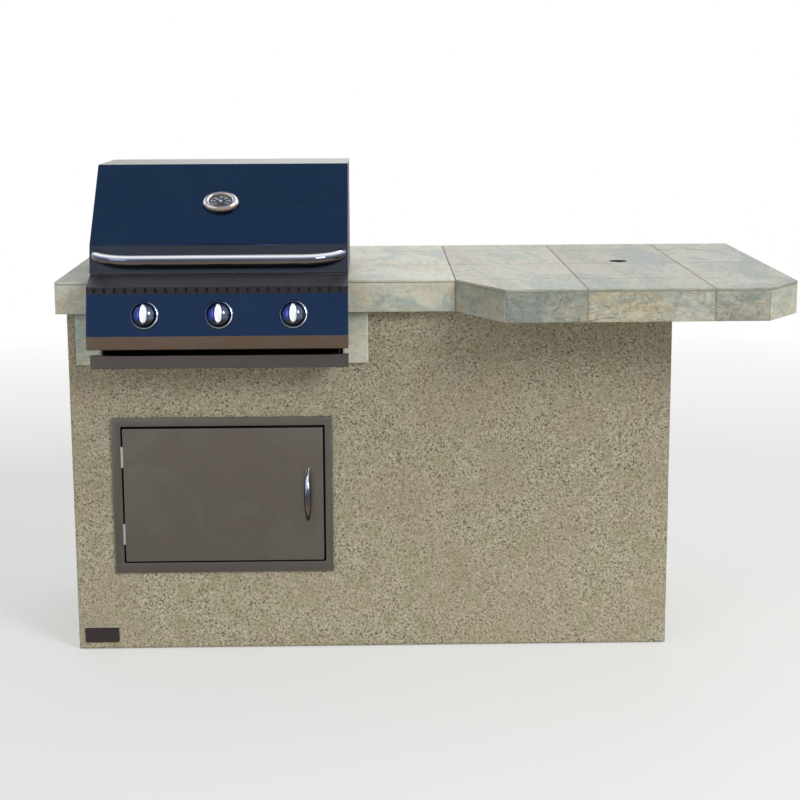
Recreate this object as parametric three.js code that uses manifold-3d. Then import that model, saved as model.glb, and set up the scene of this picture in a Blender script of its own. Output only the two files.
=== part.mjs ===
// Outdoor kitchen island: a stucco cabinet on a steel frame, a tiled counter with a raised-edge
// bar at its right end, a drop-in three-burner gas grill and an access door.
// Millimetres, +Z up, +X to the right and +Y to the back. The origin is on the floor under the
// centre of the whole island's box. Inside the island group, X starts at the cabinet's left
// face, Y at its front face and Z at the floor.

import * as THREE from 'three';
import { mergeVertices } from 'three/addons/utils/BufferGeometryUtils.js';
import Module from 'manifold-3d';

const wasm = await Module();
wasm.setup();

// Driving dimensions of the cabinet
const baseLength = 1524;
const baseDepth = 686;
const counterTop = 965;
const wallThickness = 22;
const wallLift = 3;
const tubeSize = 38;
const fitGap = 0.3;
const cutOverrun = 5;
const weldDistance = 0.0001;

// Counter build-up and outline
const tileThickness = 8;
const deckThickness = 22;
const counterFrameHeight = 40;
const soffitThickness = 10;
const tilePitch = 304.8;
const groutWidth = 3;
const groutDepth = 3;
const overhangLeft = 20;
const overhangFront = 38;
const overhangBack = 38;
const overhangRight = 285;
const barCornerFromRight = 551;
const barProjection = 191;
const barLeftClipWidth = 109;
const barRightClipWidth = 95;
const barRightClipDepth = 121;
const umbrellaHoleDiameter = 50;
const umbrellaFromBack = 409;
const umbrellaTileShare = 1.5;
const barJoistInset = 117;

// Skirt tiles beside the grill
const skirtWidth = 64;
const skirtThickness = 12;

// Grill head
const grillWidth = 635;
const grillFromLeft = 72;
const flangeSeatSide = 15.5;
const flangeSeatBack = 21;
const cutoutClearance = 7;
const grillSheet = 2;
const tubProud = 7;
const rimStep = 11;
const fireboxRimHeight = 21;
const tubFloorDepth = 150;
const tubFloorFall = 15;
const greaseSlotWidth = 40;
const greaseSlotFromSide = 117.5;
const notchClearance = 4;
const railReach = 12;
const railThickness = 2;

// Hood
const hoodClearance = 2;
const hoodLap = 2;
const bandRise = 68;
const bandLean = 14;
const slopeRise = 187;
const slopeRun = 184;
const hoodTopDepth = 282;
const hoodTopFall = 4;
const hoodBackRun = 14;
const hoodBackDrop = 10;
const hingeRodRadius = 4;
const knuckleRadius = 7;
const knuckleGap = 1;
const hoodKnuckleLength = 30;
const fireboxKnuckleLength = 20;
const hingeFromSide = 87.5;
const hingeWeb = 5;

// Hood handle
const handleDiameter = 27;
const handleStandoff = 60;
const handleAboveHoodBottom = 38;
const handleEndInset = 16;
const handleBend = 96;
const handleFootRise = 8;

// Thermometer on the hood
const thermometerLength = 93;
const thermometerHeight = 63;
const thermometerDepth = 16;
const dialLength = 56;
const dialHeight = 38;
const dialRecess = 7;
const needleLength = 15;
const needleTail = 4;
const needleWidth = 2;
const needleThickness = 0.8;
const needleHubRadius = 2.6;
const needleAboveDial = 1.5;
const needleTipShare = 0.3;
const needleColdDeg = 150;

// Control panel
const panelSheet = 2;
const ledgeRun = 60;
const ledgeFall = 21;
const stripRise = 18;
const stripLean = 2;
const faceRise = 100;
const faceLean = 26;
const lowerStripHeight = 33;
const lowerReturn = 15;
const slotCount = 25;
const slotMargin = 19.3;
const slotWidth = 5;
const slotHeight = 11;

// Gas train, knobs and burners
const knobFromSide = 137;
const knobRowShift = 4;
const knobRadius = 26.5;
const bezelClearance = 1.8;
const bezelWidth = 7.2;
const bezelHeight = 9;
const bezelShoulderShare = 0.45;
const bezelLipShare = 0.7;
const knobBack = 5.5;
const knobDomeHeight = 11;
const knobSkirtHeight = 8;
const knobSkirtShares = [[0.94, 0], [1, 0.3], [0.97, 1]];
const knobDomeShares = [[0.8, 0.45], [0.5, 0.8], [0, 1]];
const gripWidth = 14;
const gripHeight = 27;
const gripLengthShare = 0.93;
const gripTopShare = 0.7;
const stemRadius = 3;
const stemReach = 20;
const stemTail = 30;
const stemCollarRadius = 5;
const stemCollarPlace = 3.5;
const stemCollarThickness = 1.5;
const stemHoleClearance = 4;
const valveFront = 8;
const valveBoreDepth = 28;
const valveRadius = 11;
const manifoldBehindFace = 50;
const manifoldRadius = 10;
const manifoldFromSide = 47.5;
const manifoldBracketWidth = 18;
const manifoldBracketHeight = 14;
const spudRadius = 5;
const inletFittingRadius = 13;
const inletFittingLength = 18;
const burnerRadius = 12.5;
const burnerWall = 2.5;
const burnerMouthDepth = 20;
const burnerInletReach = 15;

// Heat shields, grates and warming rack
const shieldRailDepth = 55;
const shieldGap = 50.5;
const shieldRise = 30;
const shieldSheet = 1.5;
const grateRailDepth = 9;
const grateBarHeight = 8;
const grateBarWidth = 6;
const grateBarCount = 14;
const grateCrossCount = 3;
const grateSideGap = 3;
const rackHeight = 121;
const rackDepth = 116;
const rackFromHoodBack = 26;
const rackWire = 6;
const rackWireCount = 6;
const rackSideGap = 8;

// Drip tray
const trayFrontHeight = 33;
const trayFrontSetback = 48;
const trayFrontThickness = 2;
const traySheet = 1.6;
const trayPanHeight = 26;
const trayHeadroom = 15.7;
const trayPlateDrop = 1.3;
const traySideGap = 3;
const trayBackGap = 25;

// Access door
const doorLeftOfGrill = 7.5;
const doorRiseShare = 0.545;
const doorFlangeSide = 21.5;
const doorFlangeEnd = 24.5;
const doorFlangeThickness = 6;
const doorSleeveDepth = 38;
const doorSleeveSheet = 2;
const doorWidth = 508;
const doorHeight = 349;
const doorShiftX = 2.5;
const doorShiftZ = 2.5;
const doorThickness = 20;
const doorProud = 11;
const doorGap = 4;
const doorCornerRadius = 3;
const doorEdgeBevel = 3;
const doorHingeRadius = 4;
const doorPinRadius = 2;
const doorHingeLength = 54;
const doorHingeSpread = 202;
const doorHandleFromEdge = 40;
const doorHandleLength = 144;
const doorHandleStandoff = 38;
const doorHandleMiddleRadius = 9;
const doorHandleEndRadius = 5;
const doorHandleBowPower = 0.7;

// Nameplate and vent
const plateWidth = 87;
const plateHeight = 40;
const plateThickness = 3;
const plateFromLeft = 61.5;
const plateFromFloor = 40;
const ventWidth = 360;
const ventHeight = 150;
const ventFromRight = 274;
const ventCentreZ = 220;
const ventSheet = 2;
const ventLip = 25;
const ventSlotCount = 5;
const ventSlotHeight = 8;
const ventBridge = 20;
const louvreReach = 8;

// Facets of round shapes
const fineSides = 32;
const rodSides = 16;
const hexSides = 6;
const bowSteps = 12;
const bendSteps = 7;
const bevelSteps = 2;
const cornerSteps = 3;

// Derived places that several pieces share
const edgeDrop = tileThickness + deckThickness + counterFrameHeight + soffitThickness;
const counterLeft = -overhangLeft;
const counterRight = baseLength + overhangRight;
const counterFront = -overhangFront;
const counterBack = baseDepth + overhangBack;
const barFront = counterFront - barProjection;
const barStart = baseLength - barCornerFromRight;
const deckTop = counterTop - tileThickness - fitGap;
const frameTop = deckTop - deckThickness - fitGap;
const frameBottom = frameTop - counterFrameHeight;
const baseTop = frameBottom - fitGap;
const halfGrill = grillWidth / 2;
const grillCentre = grillFromLeft + halfGrill;
const knobPitch = halfGrill - knobFromSide;
const hingeStation = halfGrill - hingeFromSide;
const manifoldHalfLength = halfGrill - manifoldFromSide;
const cutoutLeft = grillCentre - halfGrill + flangeSeatSide;
const cutoutRight = grillCentre + halfGrill - flangeSeatSide;
const tubFront = counterFront - tubProud;
const fireboxFront = tubFront - rimStep;
const hoodFront = fireboxFront - hoodLap;
const hoodBottom = fireboxRimHeight + hoodClearance;
const hoodBack = hoodFront + bandLean + slopeRun + hoodTopDepth + hoodBackRun;
const hingeAxisY = hoodBack + knuckleGap + knuckleRadius;
const hingeAxisZ = hoodBottom + knuckleGap + knuckleRadius;
const flangeBack = hingeAxisY + knuckleRadius + railThickness;
const cutoutBack = flangeBack - flangeSeatBack;
const trayTop = -tubFloorDepth - tubFloorFall - trayHeadroom;
const trayBottom = trayTop - trayPanHeight;
const sidePlateDepth = grillSheet + fitGap - trayBottom;
const wallNotchBottom = counterTop - sidePlateDepth - notchClearance;
const barJoistPlace = barStart + barJoistInset;
const ventCentreX = baseLength - ventFromRight;
const doorCentreX = grillCentre - doorLeftOfGrill;
const doorCentreZ = doorRiseShare * wallNotchBottom;
const columnJoints = [-2, -1, 0, 1, 2].map((step) => barStart + step * tilePitch);
const rowJoints = [0, 1, 2].map((step) => counterFront + step * tilePitch);
const umbrellaX = barStart + umbrellaTileShare * tilePitch;
const umbrellaY = counterBack - umbrellaFromBack;

// Materials
const finish = (color, roughness, metalness) =>
  new THREE.MeshStandardMaterial({ color, roughness, metalness });
const stucco = () => finish(0xac9f84, 0.95, 0);
const galvanised = () => finish(0x9aa0a3, 0.5, 0.9);
const board = () => finish(0x8d8b85, 0.9, 0);
const tile = () => finish(0xaeb4a6, 0.45, 0);
const blueSteel = () => finish(0x2b3c58, 0.25, 1);
const brushedSteel = () => finish(0x77736c, 0.35, 1);
const chrome = () => finish(0xd5d7da, 0.08, 1);
const enamel = () => finish(0x2a2a2c, 0.6, 0.3);
const castIron = () => finish(0x242424, 0.7, 0.4);
const brass = () => finish(0xa98b4b, 0.4, 1);
const darkPlate = () => finish(0x3c2d2d, 0.5, 0.2);
const needleRed = () => finish(0xb8442c, 0.5, 0);

// A closed geometry as a solid for joining and cutting
function solidOf(geometry) {
  const bare = new THREE.BufferGeometry();
  bare.setAttribute('position', geometry.getAttribute('position').clone());
  if (geometry.index) bare.setIndex(geometry.index.clone());
  const merged = mergeVertices(bare, weldDistance);
  const corners = merged.index.array;
  const kept = [];
  for (let i = 0; i < corners.length; i += 3) {
    const [a, b, c] = [corners[i], corners[i + 1], corners[i + 2]];
    if (a !== b && b !== c && c !== a) kept.push(a, b, c);
  }
  const mesh = new wasm.Mesh({
    numProp: 3,
    vertProperties: new Float32Array(merged.getAttribute('position').array),
    triVerts: new Uint32Array(kept),
  });
  return new wasm.Manifold(mesh);
}

function geometryOf(solid) {
  const mesh = solid.getMesh();
  const geometry = new THREE.BufferGeometry();
  geometry.setAttribute('position', new THREE.BufferAttribute(mesh.vertProperties, 3));
  geometry.setIndex(new THREE.BufferAttribute(mesh.triVerts, 1));
  geometry.computeVertexNormals();
  return geometry;
}

function add(group, name, solid, material) {
  const mesh = new THREE.Mesh(geometryOf(solid), material);
  mesh.name = name;
  group.add(mesh);
}

const joined = (solids) => solids.reduce((whole, next) => whole.add(next));
const cut = (solid, tools) => tools.reduce((rest, tool) => rest.subtract(tool), solid);

// Basic solids: a box between limits, prisms along each axis, turned and round bars.
// Corners are set to the limits themselves, so that faces that should meet are level.
function box(x0, x1, y0, y1, z0, z1) {
  const geometry = new THREE.BoxGeometry(1, 1, 1);
  const corners = geometry.getAttribute('position');
  for (let i = 0; i < corners.count; i++) {
    corners.setXYZ(
      i,
      corners.getX(i) < 0 ? x0 : x1,
      corners.getY(i) < 0 ? y0 : y1,
      corners.getZ(i) < 0 ? z0 : z1,
    );
  }
  return solidOf(geometry);
}

const xAxis = new THREE.Vector3(1, 0, 0);
const yAxis = new THREE.Vector3(0, 1, 0);
const zAxis = new THREE.Vector3(0, 0, 1);

function prism(points, start, end, across, up, along) {
  const shape = new THREE.Shape(points.map(([a, b]) => new THREE.Vector2(a, b)));
  const geometry = new THREE.ExtrudeGeometry(shape, { depth: 1, bevelEnabled: false });
  const corners = geometry.getAttribute('position');
  for (let i = 0; i < corners.count; i++) corners.setZ(i, corners.getZ(i) > 0 ? end : start);
  geometry.applyMatrix4(new THREE.Matrix4().makeBasis(across, up, along));
  return solidOf(geometry);
}

const prismX = (yzPoints, x0, x1) => prism(yzPoints, x0, x1, yAxis, zAxis, xAxis);
const prismY = (xzPoints, y0, y1) =>
  prism(xzPoints, -y1, -y0, xAxis, zAxis, yAxis.clone().negate());
const prismZ = (xyPoints, z0, z1) => prism(xyPoints, z0, z1, xAxis, yAxis, zAxis);

function rod(radius, start, end, axis, sides = rodSides) {
  const geometry = new THREE.CylinderGeometry(radius, radius, end - start, sides);
  geometry.rotateX(Math.PI / 2);
  geometry.translate(0, 0, (start + end) / 2);
  if (axis === 'x') geometry.rotateY(Math.PI / 2);
  if (axis === 'y') geometry.rotateX(-Math.PI / 2);
  return solidOf(geometry);
}

function turned(profile, sides = fineSides) {
  const geometry = new THREE.LatheGeometry(
    profile.map(([radius, height]) => new THREE.Vector2(radius, height)),
    sides,
  );
  geometry.rotateX(Math.PI / 2);
  return solidOf(geometry);
}

// A round bar of changing radius along a plane curve, given by its points
function sweptBar(points, planeNormal, radii, sides = rodSides) {
  const positions = [];
  const triangles = [];
  const last = points.length - 1;
  points.forEach((point, i) => {
    const ahead = points[Math.min(i + 1, last)];
    const behind = points[Math.max(i - 1, 0)];
    const tangent = ahead.clone().sub(behind).normalize();
    const side = new THREE.Vector3().crossVectors(tangent, planeNormal).normalize();
    for (let k = 0; k < sides; k++) {
      const angle = (2 * Math.PI * k) / sides;
      const spot = point.clone()
        .addScaledVector(planeNormal, radii[i] * Math.cos(angle))
        .addScaledVector(side, radii[i] * Math.sin(angle));
      positions.push(spot.x, spot.y, spot.z);
    }
  });
  const startCentre = positions.length / 3;
  positions.push(points[0].x, points[0].y, points[0].z);
  positions.push(points[last].x, points[last].y, points[last].z);
  for (let k = 0; k < sides; k++) {
    const next = (k + 1) % sides;
    for (let i = 0; i < last; i++) {
      const [a, b] = [i * sides + k, i * sides + next];
      const [c, d] = [a + sides, b + sides];
      triangles.push(a, c, b, b, c, d);
    }
    triangles.push(startCentre, k, next);
    triangles.push(startCentre + 1, last * sides + next, last * sides + k);
  }
  const geometry = new THREE.BufferGeometry();
  geometry.setAttribute('position', new THREE.Float32BufferAttribute(positions, 3));
  geometry.setIndex(triangles);
  const solid = solidOf(geometry);
  if (solid.volume() > 0) return solid;
  geometry.setIndex(triangles.reverse());
  return solidOf(geometry);
}

function ellipse(length, height, count = fineSides) {
  return Array.from({ length: count }, (_, k) => {
    const angle = (2 * Math.PI * k) / count;
    return [length / 2 * Math.cos(angle), height / 2 * Math.sin(angle)];
  });
}

// The outline moved inwards by a distance, corners kept sharp; points run anticlockwise
function inset(points, distance) {
  const count = points.length;
  const edges = points.map(([x, y], i) => {
    const [nx, ny] = points[(i + 1) % count];
    const length = Math.hypot(nx - x, ny - y);
    const [dx, dy] = [(nx - x) / length, (ny - y) / length];
    return { x: x - dy * distance, y: y + dx * distance, dx, dy };
  });
  return points.map((_, i) => {
    const a = edges[(i + count - 1) % count];
    const b = edges[i];
    const cross = a.dx * b.dy - a.dy * b.dx;
    const t = ((b.x - a.x) * b.dy - (b.y - a.y) * b.dx) / cross;
    return [a.x + a.dx * t, a.y + a.dy * t];
  });
}

const counterOutline = [
  [counterLeft, counterFront],
  [barStart, counterFront],
  [barStart + barLeftClipWidth, barFront],
  [counterRight - barRightClipWidth, barFront],
  [counterRight, barFront + barRightClipDepth],
  [counterRight, counterBack],
  [counterLeft, counterBack],
];
const coreOutline = inset(counterOutline, tileThickness + fitGap);

// The notch that the grill drops into, open to the front
const grillNotch = (bottom, top) =>
  box(cutoutLeft, cutoutRight, barFront, cutoutBack, bottom, top);

const island = new THREE.Group();
island.position.set(-(counterLeft + counterRight) / 2, -(barFront + counterBack) / 2, 0);

// Steel frames of the cabinet: tubes as boxes, each frame welded into one piece
const frameInset = wallThickness + fitGap;
const frameRight = baseLength - frameInset;
const frameBack = baseDepth - frameInset;

// Where the access door's sleeve passes the front wall, and the hole that it needs
function doorSleeve() {
  const halfWidth = doorWidth / 2 + doorGap + doorSleeveSheet;
  const halfHeight = doorHeight / 2 + doorGap + doorSleeveSheet;
  const [x, z] = [doorCentreX + doorShiftX, doorCentreZ + doorShiftZ];
  return { left: x - halfWidth, right: x + halfWidth, bottom: z - halfHeight, top: z + halfHeight };
}

function doorHole(y0, y1) {
  const opening = doorSleeve();
  return box(
    opening.left - fitGap, opening.right + fitGap, y0 - cutOverrun, y1 + cutOverrun,
    opening.bottom - fitGap, opening.top + fitGap,
  );
}

function wallFrame(x0, x1, y0, y1, studs) {
  const tracks = [
    box(x0, x1, y0, y1, 0, tubeSize),
    box(x0, x1, y0, y1, baseTop - tubeSize, baseTop),
  ];
  return joined([...tracks, ...studs]);
}

function frontFrame() {
  const [y0, y1] = [frameInset, frameInset + tubeSize];
  const stud = (x) => box(x, x + tubeSize, y0, y1, 0, baseTop);
  const rail = (top) => box(frameInset, cutoutRight + tubeSize, y0, y1, top - tubeSize, top);
  const opening = doorSleeve();
  const studs = [
    ...[frameInset, cutoutRight, barJoistPlace, frameRight - tubeSize].map(stud),
    ...[opening.bottom - fitGap, opening.top + fitGap + tubeSize, wallNotchBottom].map(rail),
  ];
  const frame = wallFrame(frameInset, frameRight, y0, y1, studs);
  return cut(frame, [grillNotch(wallNotchBottom, counterTop), doorHole(y0, y1)]);
}

function backFrame() {
  const [y0, y1] = [frameBack - tubeSize, frameBack];
  const span = frameRight - frameInset - tubeSize;
  const studs = [0, 1, 2, 3].map((step) => {
    const x = frameInset + (span * step) / 3;
    return box(x, x + tubeSize, y0, y1, 0, baseTop);
  });
  return wallFrame(frameInset, frameRight, y0, y1, studs);
}

function endFrame(x0) {
  const y0 = frameInset + tubeSize + fitGap;
  const y1 = frameBack - tubeSize - fitGap;
  const x1 = x0 + tubeSize;
  const studs = [
    box(x0, x1, y0, y0 + tubeSize, 0, baseTop),
    box(x0, x1, y1 - tubeSize, y1, 0, baseTop),
  ];
  return wallFrame(x0, x1, y0, y1, studs);
}

// Stuccoed wall panels
function frontWall() {
  const wall = box(0, baseLength, 0, wallThickness, wallLift, baseTop);
  return cut(wall, [doorHole(0, wallThickness), grillNotch(wallNotchBottom, counterTop)]);
}

function backWall() {
  const wall = box(0, baseLength, baseDepth - wallThickness, baseDepth, wallLift, baseTop);
  const halfWidth = ventWidth / 2 - ventLip;
  const halfHeight = ventHeight / 2 - ventLip;
  const hole = box(
    ventCentreX - halfWidth, ventCentreX + halfWidth,
    baseDepth - wallThickness - cutOverrun, baseDepth + cutOverrun,
    ventCentreZ - halfHeight, ventCentreZ + halfHeight,
  );
  return wall.subtract(hole);
}

function endWall(x0) {
  return box(
    x0, x0 + wallThickness, wallThickness + fitGap, baseDepth - wallThickness - fitGap,
    wallLift, baseTop,
  );
}

// Louvred vent plate on the back wall
function backVent() {
  const y0 = baseDepth + fitGap;
  const y1 = y0 + ventSheet;
  const [left, right] = [ventCentreX - ventWidth / 2, ventCentreX + ventWidth / 2];
  const [low, high] = [ventCentreZ - ventHeight / 2, ventCentreZ + ventHeight / 2];
  const pitch = (ventHeight - 2 * ventLip) / ventSlotCount;
  const halves = [
    [left + ventLip, ventCentreX - ventBridge / 2],
    [ventCentreX + ventBridge / 2, right - ventLip],
  ];
  let plate = box(left, right, y0, y1, low, high);
  for (let row = 0; row < ventSlotCount; row++) {
    const z = low + ventLip + pitch * row;
    for (const [x0, x1] of halves) {
      plate = plate.subtract(box(x0, x1, y0 - cutOverrun, y1 + cutOverrun, z, z + ventSlotHeight));
      const louvre = [
        [y0, z + ventSlotHeight],
        [y1 + louvreReach, z],
        [y1 + louvreReach, z + ventSheet],
        [y1, z + ventSlotHeight + ventSheet],
        [y0, z + ventSlotHeight + ventSheet],
      ];
      plate = plate.add(prismX(louvre, x0, x1));
    }
  }
  return plate;
}

const base = new THREE.Group();
island.add(base);
add(base, 'front_frame', frontFrame(), galvanised());
add(base, 'back_frame', backFrame(), galvanised());
add(base, 'left_end_frame', endFrame(frameInset), galvanised());
add(base, 'right_end_frame', endFrame(frameRight - tubeSize), galvanised());
add(base, 'front_wall', frontWall(), stucco());
add(base, 'back_wall', backWall(), stucco());
add(base, 'left_end_wall', endWall(0), stucco());
add(base, 'right_end_wall', endWall(baseLength - wallThickness), stucco());
add(base, 'back_vent', backVent(), brushedSteel());
add(base, 'nameplate', box(
  plateFromLeft - plateWidth / 2, plateFromLeft + plateWidth / 2,
  -fitGap - plateThickness, -fitGap,
  plateFromFloor - plateHeight / 2, plateFromFloor + plateHeight / 2,
), darkPlate());

// Counter: a tube frame that cantilevers over the bar side, a deck on it and a soffit below
function counterFrame() {
  const [z0, z1] = [frameBottom, frameTop];
  const outer = prismZ(coreOutline, z0, z1);
  const inner = prismZ(inset(coreOutline, tubeSize), z0 - cutOverrun, z1 + cutOverrun);
  const ring = outer.subtract(inner);
  const joist = (x) => box(x, x + tubeSize, barFront, counterBack, z0, z1);
  const joists = [
    joist(cutoutLeft - tubeSize),
    joist(cutoutRight),
    joist(barJoistPlace),
    joist(baseLength - tubeSize),
  ];
  const headers = [
    box(cutoutLeft, cutoutRight, cutoutBack, cutoutBack + tubeSize, z0, z1),
    box(cutoutRight, counterRight, 0, tubeSize, z0, z1),
  ];
  const members = joined([...joists, ...headers]).intersect(outer);
  return ring.add(members).subtract(grillNotch(z0 - cutOverrun, z1 + cutOverrun));
}

function umbrellaHole(bottom, top) {
  const hole = rod(umbrellaHoleDiameter / 2, bottom, top, 'z', fineSides);
  return hole.translate([umbrellaX, umbrellaY, 0]);
}

function counterDeck() {
  const [z0, z1] = [deckTop - deckThickness, deckTop];
  const [low, high] = [z0 - cutOverrun, z1 + cutOverrun];
  return cut(prismZ(coreOutline, z0, z1), [grillNotch(low, high), umbrellaHole(low, high)]);
}

function barSoffit() {
  const z1 = frameBottom - fitGap;
  const z0 = counterTop - edgeDrop;
  const [low, high] = [z0 - cutOverrun, z1 + cutOverrun];
  const overBase = box(counterLeft, baseLength + fitGap, -fitGap, counterBack, low, high);
  const overMain = box(counterLeft, barStart, barFront, counterBack, low, high);
  return cut(prismZ(coreOutline, z0, z1), [overBase, overMain]);
}

// Top tiles in columns, with the joints between rows as grooves
function tileColumn(x0, x1, innerJoints) {
  const [z0, z1] = [counterTop - tileThickness, counterTop];
  const [low, high] = [z0 - cutOverrun, z1 + cutOverrun];
  const column = box(x0, x1, barFront, counterBack, z0, z1);
  const grooves = [
    ...rowJoints.map((y) =>
      box(x0, x1, y - groutWidth / 2, y + groutWidth / 2, z1 - groutDepth, high)),
    ...innerJoints.map((x) =>
      box(x - groutWidth / 2, x + groutWidth / 2, barFront, counterBack, z1 - groutDepth, high)),
  ];
  const tiles = prismZ(counterOutline, z0, z1).intersect(column);
  return cut(tiles, [grillNotch(low, high), umbrellaHole(low, high), ...grooves]);
}

// Edge tiles hang below the rim of the top tiles, one run for each straight side
const edgeTop = counterTop - tileThickness - groutWidth;
const edgeBottom = counterTop - edgeDrop;
const tileBackOutline = inset(counterOutline, tileThickness);

function edgeRun(side, innerJoints = []) {
  const next = (side + 1) % counterOutline.length;
  const [a, b] = [counterOutline[side], counterOutline[next]];
  const [c, d] = [tileBackOutline[next], tileBackOutline[side]];
  const length = Math.hypot(b[0] - a[0], b[1] - a[1]);
  const [dx, dy] = [(b[0] - a[0]) / length, (b[1] - a[1]) / length];
  const shift = ([x, y], amount) => [x + dx * amount, y + dy * amount];
  const half = groutWidth / 2;
  const corners = [shift(a, half), shift(b, -half), shift(c, -half), shift(d, half)];
  const grooves = innerJoints.map((place) => {
    const [sx, sy] = shift(a, place);
    const [ox, oy] = [dy * cutOverrun, -dx * cutOverrun];
    const [ix, iy] = [-dy * groutDepth, dx * groutDepth];
    const groove = [
      shift([sx + ox, sy + oy], -half), shift([sx + ox, sy + oy], half),
      shift([sx + ix, sy + iy], half), shift([sx + ix, sy + iy], -half),
    ];
    return prismZ(groove, edgeBottom - cutOverrun, edgeTop + cutOverrun);
  });
  return cut(prismZ(corners, edgeBottom, edgeTop), grooves);
}

const halfJoint = groutWidth / 2;
const frontRun = edgeRun(0);
const leftOfGrill = box(counterLeft, cutoutLeft, barFront, 0, edgeBottom, edgeTop);
const rightOfGrill = box(cutoutRight, barStart, barFront, 0, edgeBottom, edgeTop);
const sideJoints = rowJoints.slice(1).map((y) => counterBack - y);
const rightJoints = rowJoints.slice(1).map((y) => y - barFront - barRightClipDepth);
const backJoints = columnJoints.map((x) => counterRight - x);
const barJoints = columnJoints.slice(3).map((x) => x - barStart - barLeftClipWidth);

function skirtTile(x0) {
  return box(
    x0, x0 + skirtWidth, -fitGap - skirtThickness, -fitGap,
    wallNotchBottom, edgeBottom - groutWidth,
  );
}

const counter = new THREE.Group();
island.add(counter);
add(counter, 'counter_frame', counterFrame(), galvanised());
add(counter, 'counter_deck', counterDeck(), board());
add(counter, 'bar_soffit', barSoffit(), stucco());
add(counter, 'left_counter_tiles',
  tileColumn(counterLeft, columnJoints[1] - halfJoint, [columnJoints[0]]), tile());
const columnNames = ['middle_counter_tiles', 'bar_tiles_left', 'bar_tiles_middle',
  'bar_tiles_right'];
columnNames.forEach((name, i) => {
  const x0 = columnJoints[i + 1] + halfJoint;
  const x1 = i < 3 ? columnJoints[i + 2] - halfJoint : counterRight;
  add(counter, name, tileColumn(x0, x1, []), tile());
});
add(counter, 'front_edge_tile_left', frontRun.intersect(leftOfGrill), tile());
add(counter, 'front_edge_tile_right', frontRun.intersect(rightOfGrill), tile());
add(counter, 'bar_corner_tile_left', edgeRun(1), tile());
add(counter, 'bar_front_edge_tiles', edgeRun(2, barJoints), tile());
add(counter, 'bar_corner_tile_right', edgeRun(3), tile());
add(counter, 'right_side_edge_tiles', edgeRun(4, rightJoints), tile());
add(counter, 'back_edge_tiles', edgeRun(5, backJoints), tile());
add(counter, 'left_side_edge_tiles', edgeRun(6, sideJoints), tile());
add(counter, 'skirt_tile_left', skirtTile(cutoutLeft - skirtWidth), tile());
add(counter, 'skirt_tile_right', skirtTile(cutoutRight), tile());

// Access door, placed by its own centre on the wall's face
const halfDoorWidth = doorWidth / 2;
const halfDoorHeight = doorHeight / 2;
const hingeX = -halfDoorWidth - doorGap / 2;
const hingeY = -doorFlangeThickness - doorPinRadius;
const knuckleThird = doorHingeLength / 3;

const doorKnuckle = (z0, z1, spare = 0) =>
  rod(doorHingeRadius + spare, z0 - spare, z1 + spare, 'z').translate([hingeX, hingeY, 0]);

function doorPinHole(z0, z1) {
  const hole = rod(doorPinRadius + fitGap, z0 - cutOverrun, z1 + cutOverrun, 'z');
  return hole.translate([hingeX, hingeY, 0]);
}

const doorHingePlaces = [-doorHingeSpread / 2, doorHingeSpread / 2];

function doorFrame() {
  const innerX = halfDoorWidth + doorGap;
  const innerZ = halfDoorHeight + doorGap;
  const [outerX, outerZ] = [innerX + doorFlangeSide, innerZ + doorFlangeEnd];
  const flange = box(
    -outerX - doorShiftX, outerX - doorShiftX, -fitGap - doorFlangeThickness, -fitGap,
    -outerZ - doorShiftZ, outerZ - doorShiftZ,
  );
  const sleeve = box(
    -innerX - doorSleeveSheet, innerX + doorSleeveSheet, -fitGap - doorFlangeThickness,
    doorSleeveDepth, -innerZ - doorSleeveSheet, innerZ + doorSleeveSheet,
  );
  const hollow = box(
    -innerX, innerX, -doorFlangeThickness - cutOverrun, doorSleeveDepth + cutOverrun,
    -innerZ, innerZ,
  );
  let frame = flange.add(sleeve).subtract(hollow);
  for (const z of doorHingePlaces) {
    frame = frame.subtract(doorKnuckle(z - knuckleThird / 2, z + knuckleThird / 2, fitGap));
    for (const z0 of [z - 1.5 * knuckleThird, z + knuckleThird / 2 + fitGap]) {
      const z1 = z0 + knuckleThird - fitGap;
      const leaf = box(-innerX - doorSleeveSheet, hingeX, hingeY, hingeY + doorPinRadius * 2, z0, z1);
      frame = cut(joined([frame, doorKnuckle(z0, z1), leaf]), [doorPinHole(z0, z1)]);
    }
  }
  return frame;
}

function doorPanel() {
  const shape = new THREE.Shape();
  const [w, h, r] = [halfDoorWidth - doorEdgeBevel, halfDoorHeight - doorEdgeBevel, doorCornerRadius];
  shape.moveTo(-w + r, -h);
  shape.lineTo(w - r, -h);
  shape.absarc(w - r, -h + r, r, -Math.PI / 2, 0, false);
  shape.lineTo(w, h - r);
  shape.absarc(w - r, h - r, r, 0, Math.PI / 2, false);
  shape.lineTo(-w + r, h);
  shape.absarc(-w + r, h - r, r, Math.PI / 2, Math.PI, false);
  shape.lineTo(-w, -h + r);
  shape.absarc(-w + r, -h + r, r, Math.PI, 1.5 * Math.PI, false);
  const geometry = new THREE.ExtrudeGeometry(shape, {
    depth: doorThickness - 2 * doorEdgeBevel, bevelThickness: doorEdgeBevel,
    bevelSize: doorEdgeBevel, bevelSegments: bevelSteps, curveSegments: cornerSteps,
  });
  geometry.rotateX(Math.PI / 2);
  geometry.translate(0, doorThickness - doorProud - doorEdgeBevel, 0);
  let panel = solidOf(geometry);
  for (const z of doorHingePlaces) {
    const [z0, z1] = [z - knuckleThird / 2 + fitGap, z + knuckleThird / 2 - fitGap];
    const clearance = doorKnuckle(z - doorHingeLength / 2, z + doorHingeLength / 2, fitGap);
    const leaf = box(hingeX, -halfDoorWidth + 2 * doorEdgeBevel,
      hingeY, hingeY + doorPinRadius * 2, z0, z1);
    panel = joined([panel.subtract(clearance), doorKnuckle(z0, z1), leaf]);
    panel = panel.subtract(doorPinHole(z0, z1));
  }
  return panel;
}

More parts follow.
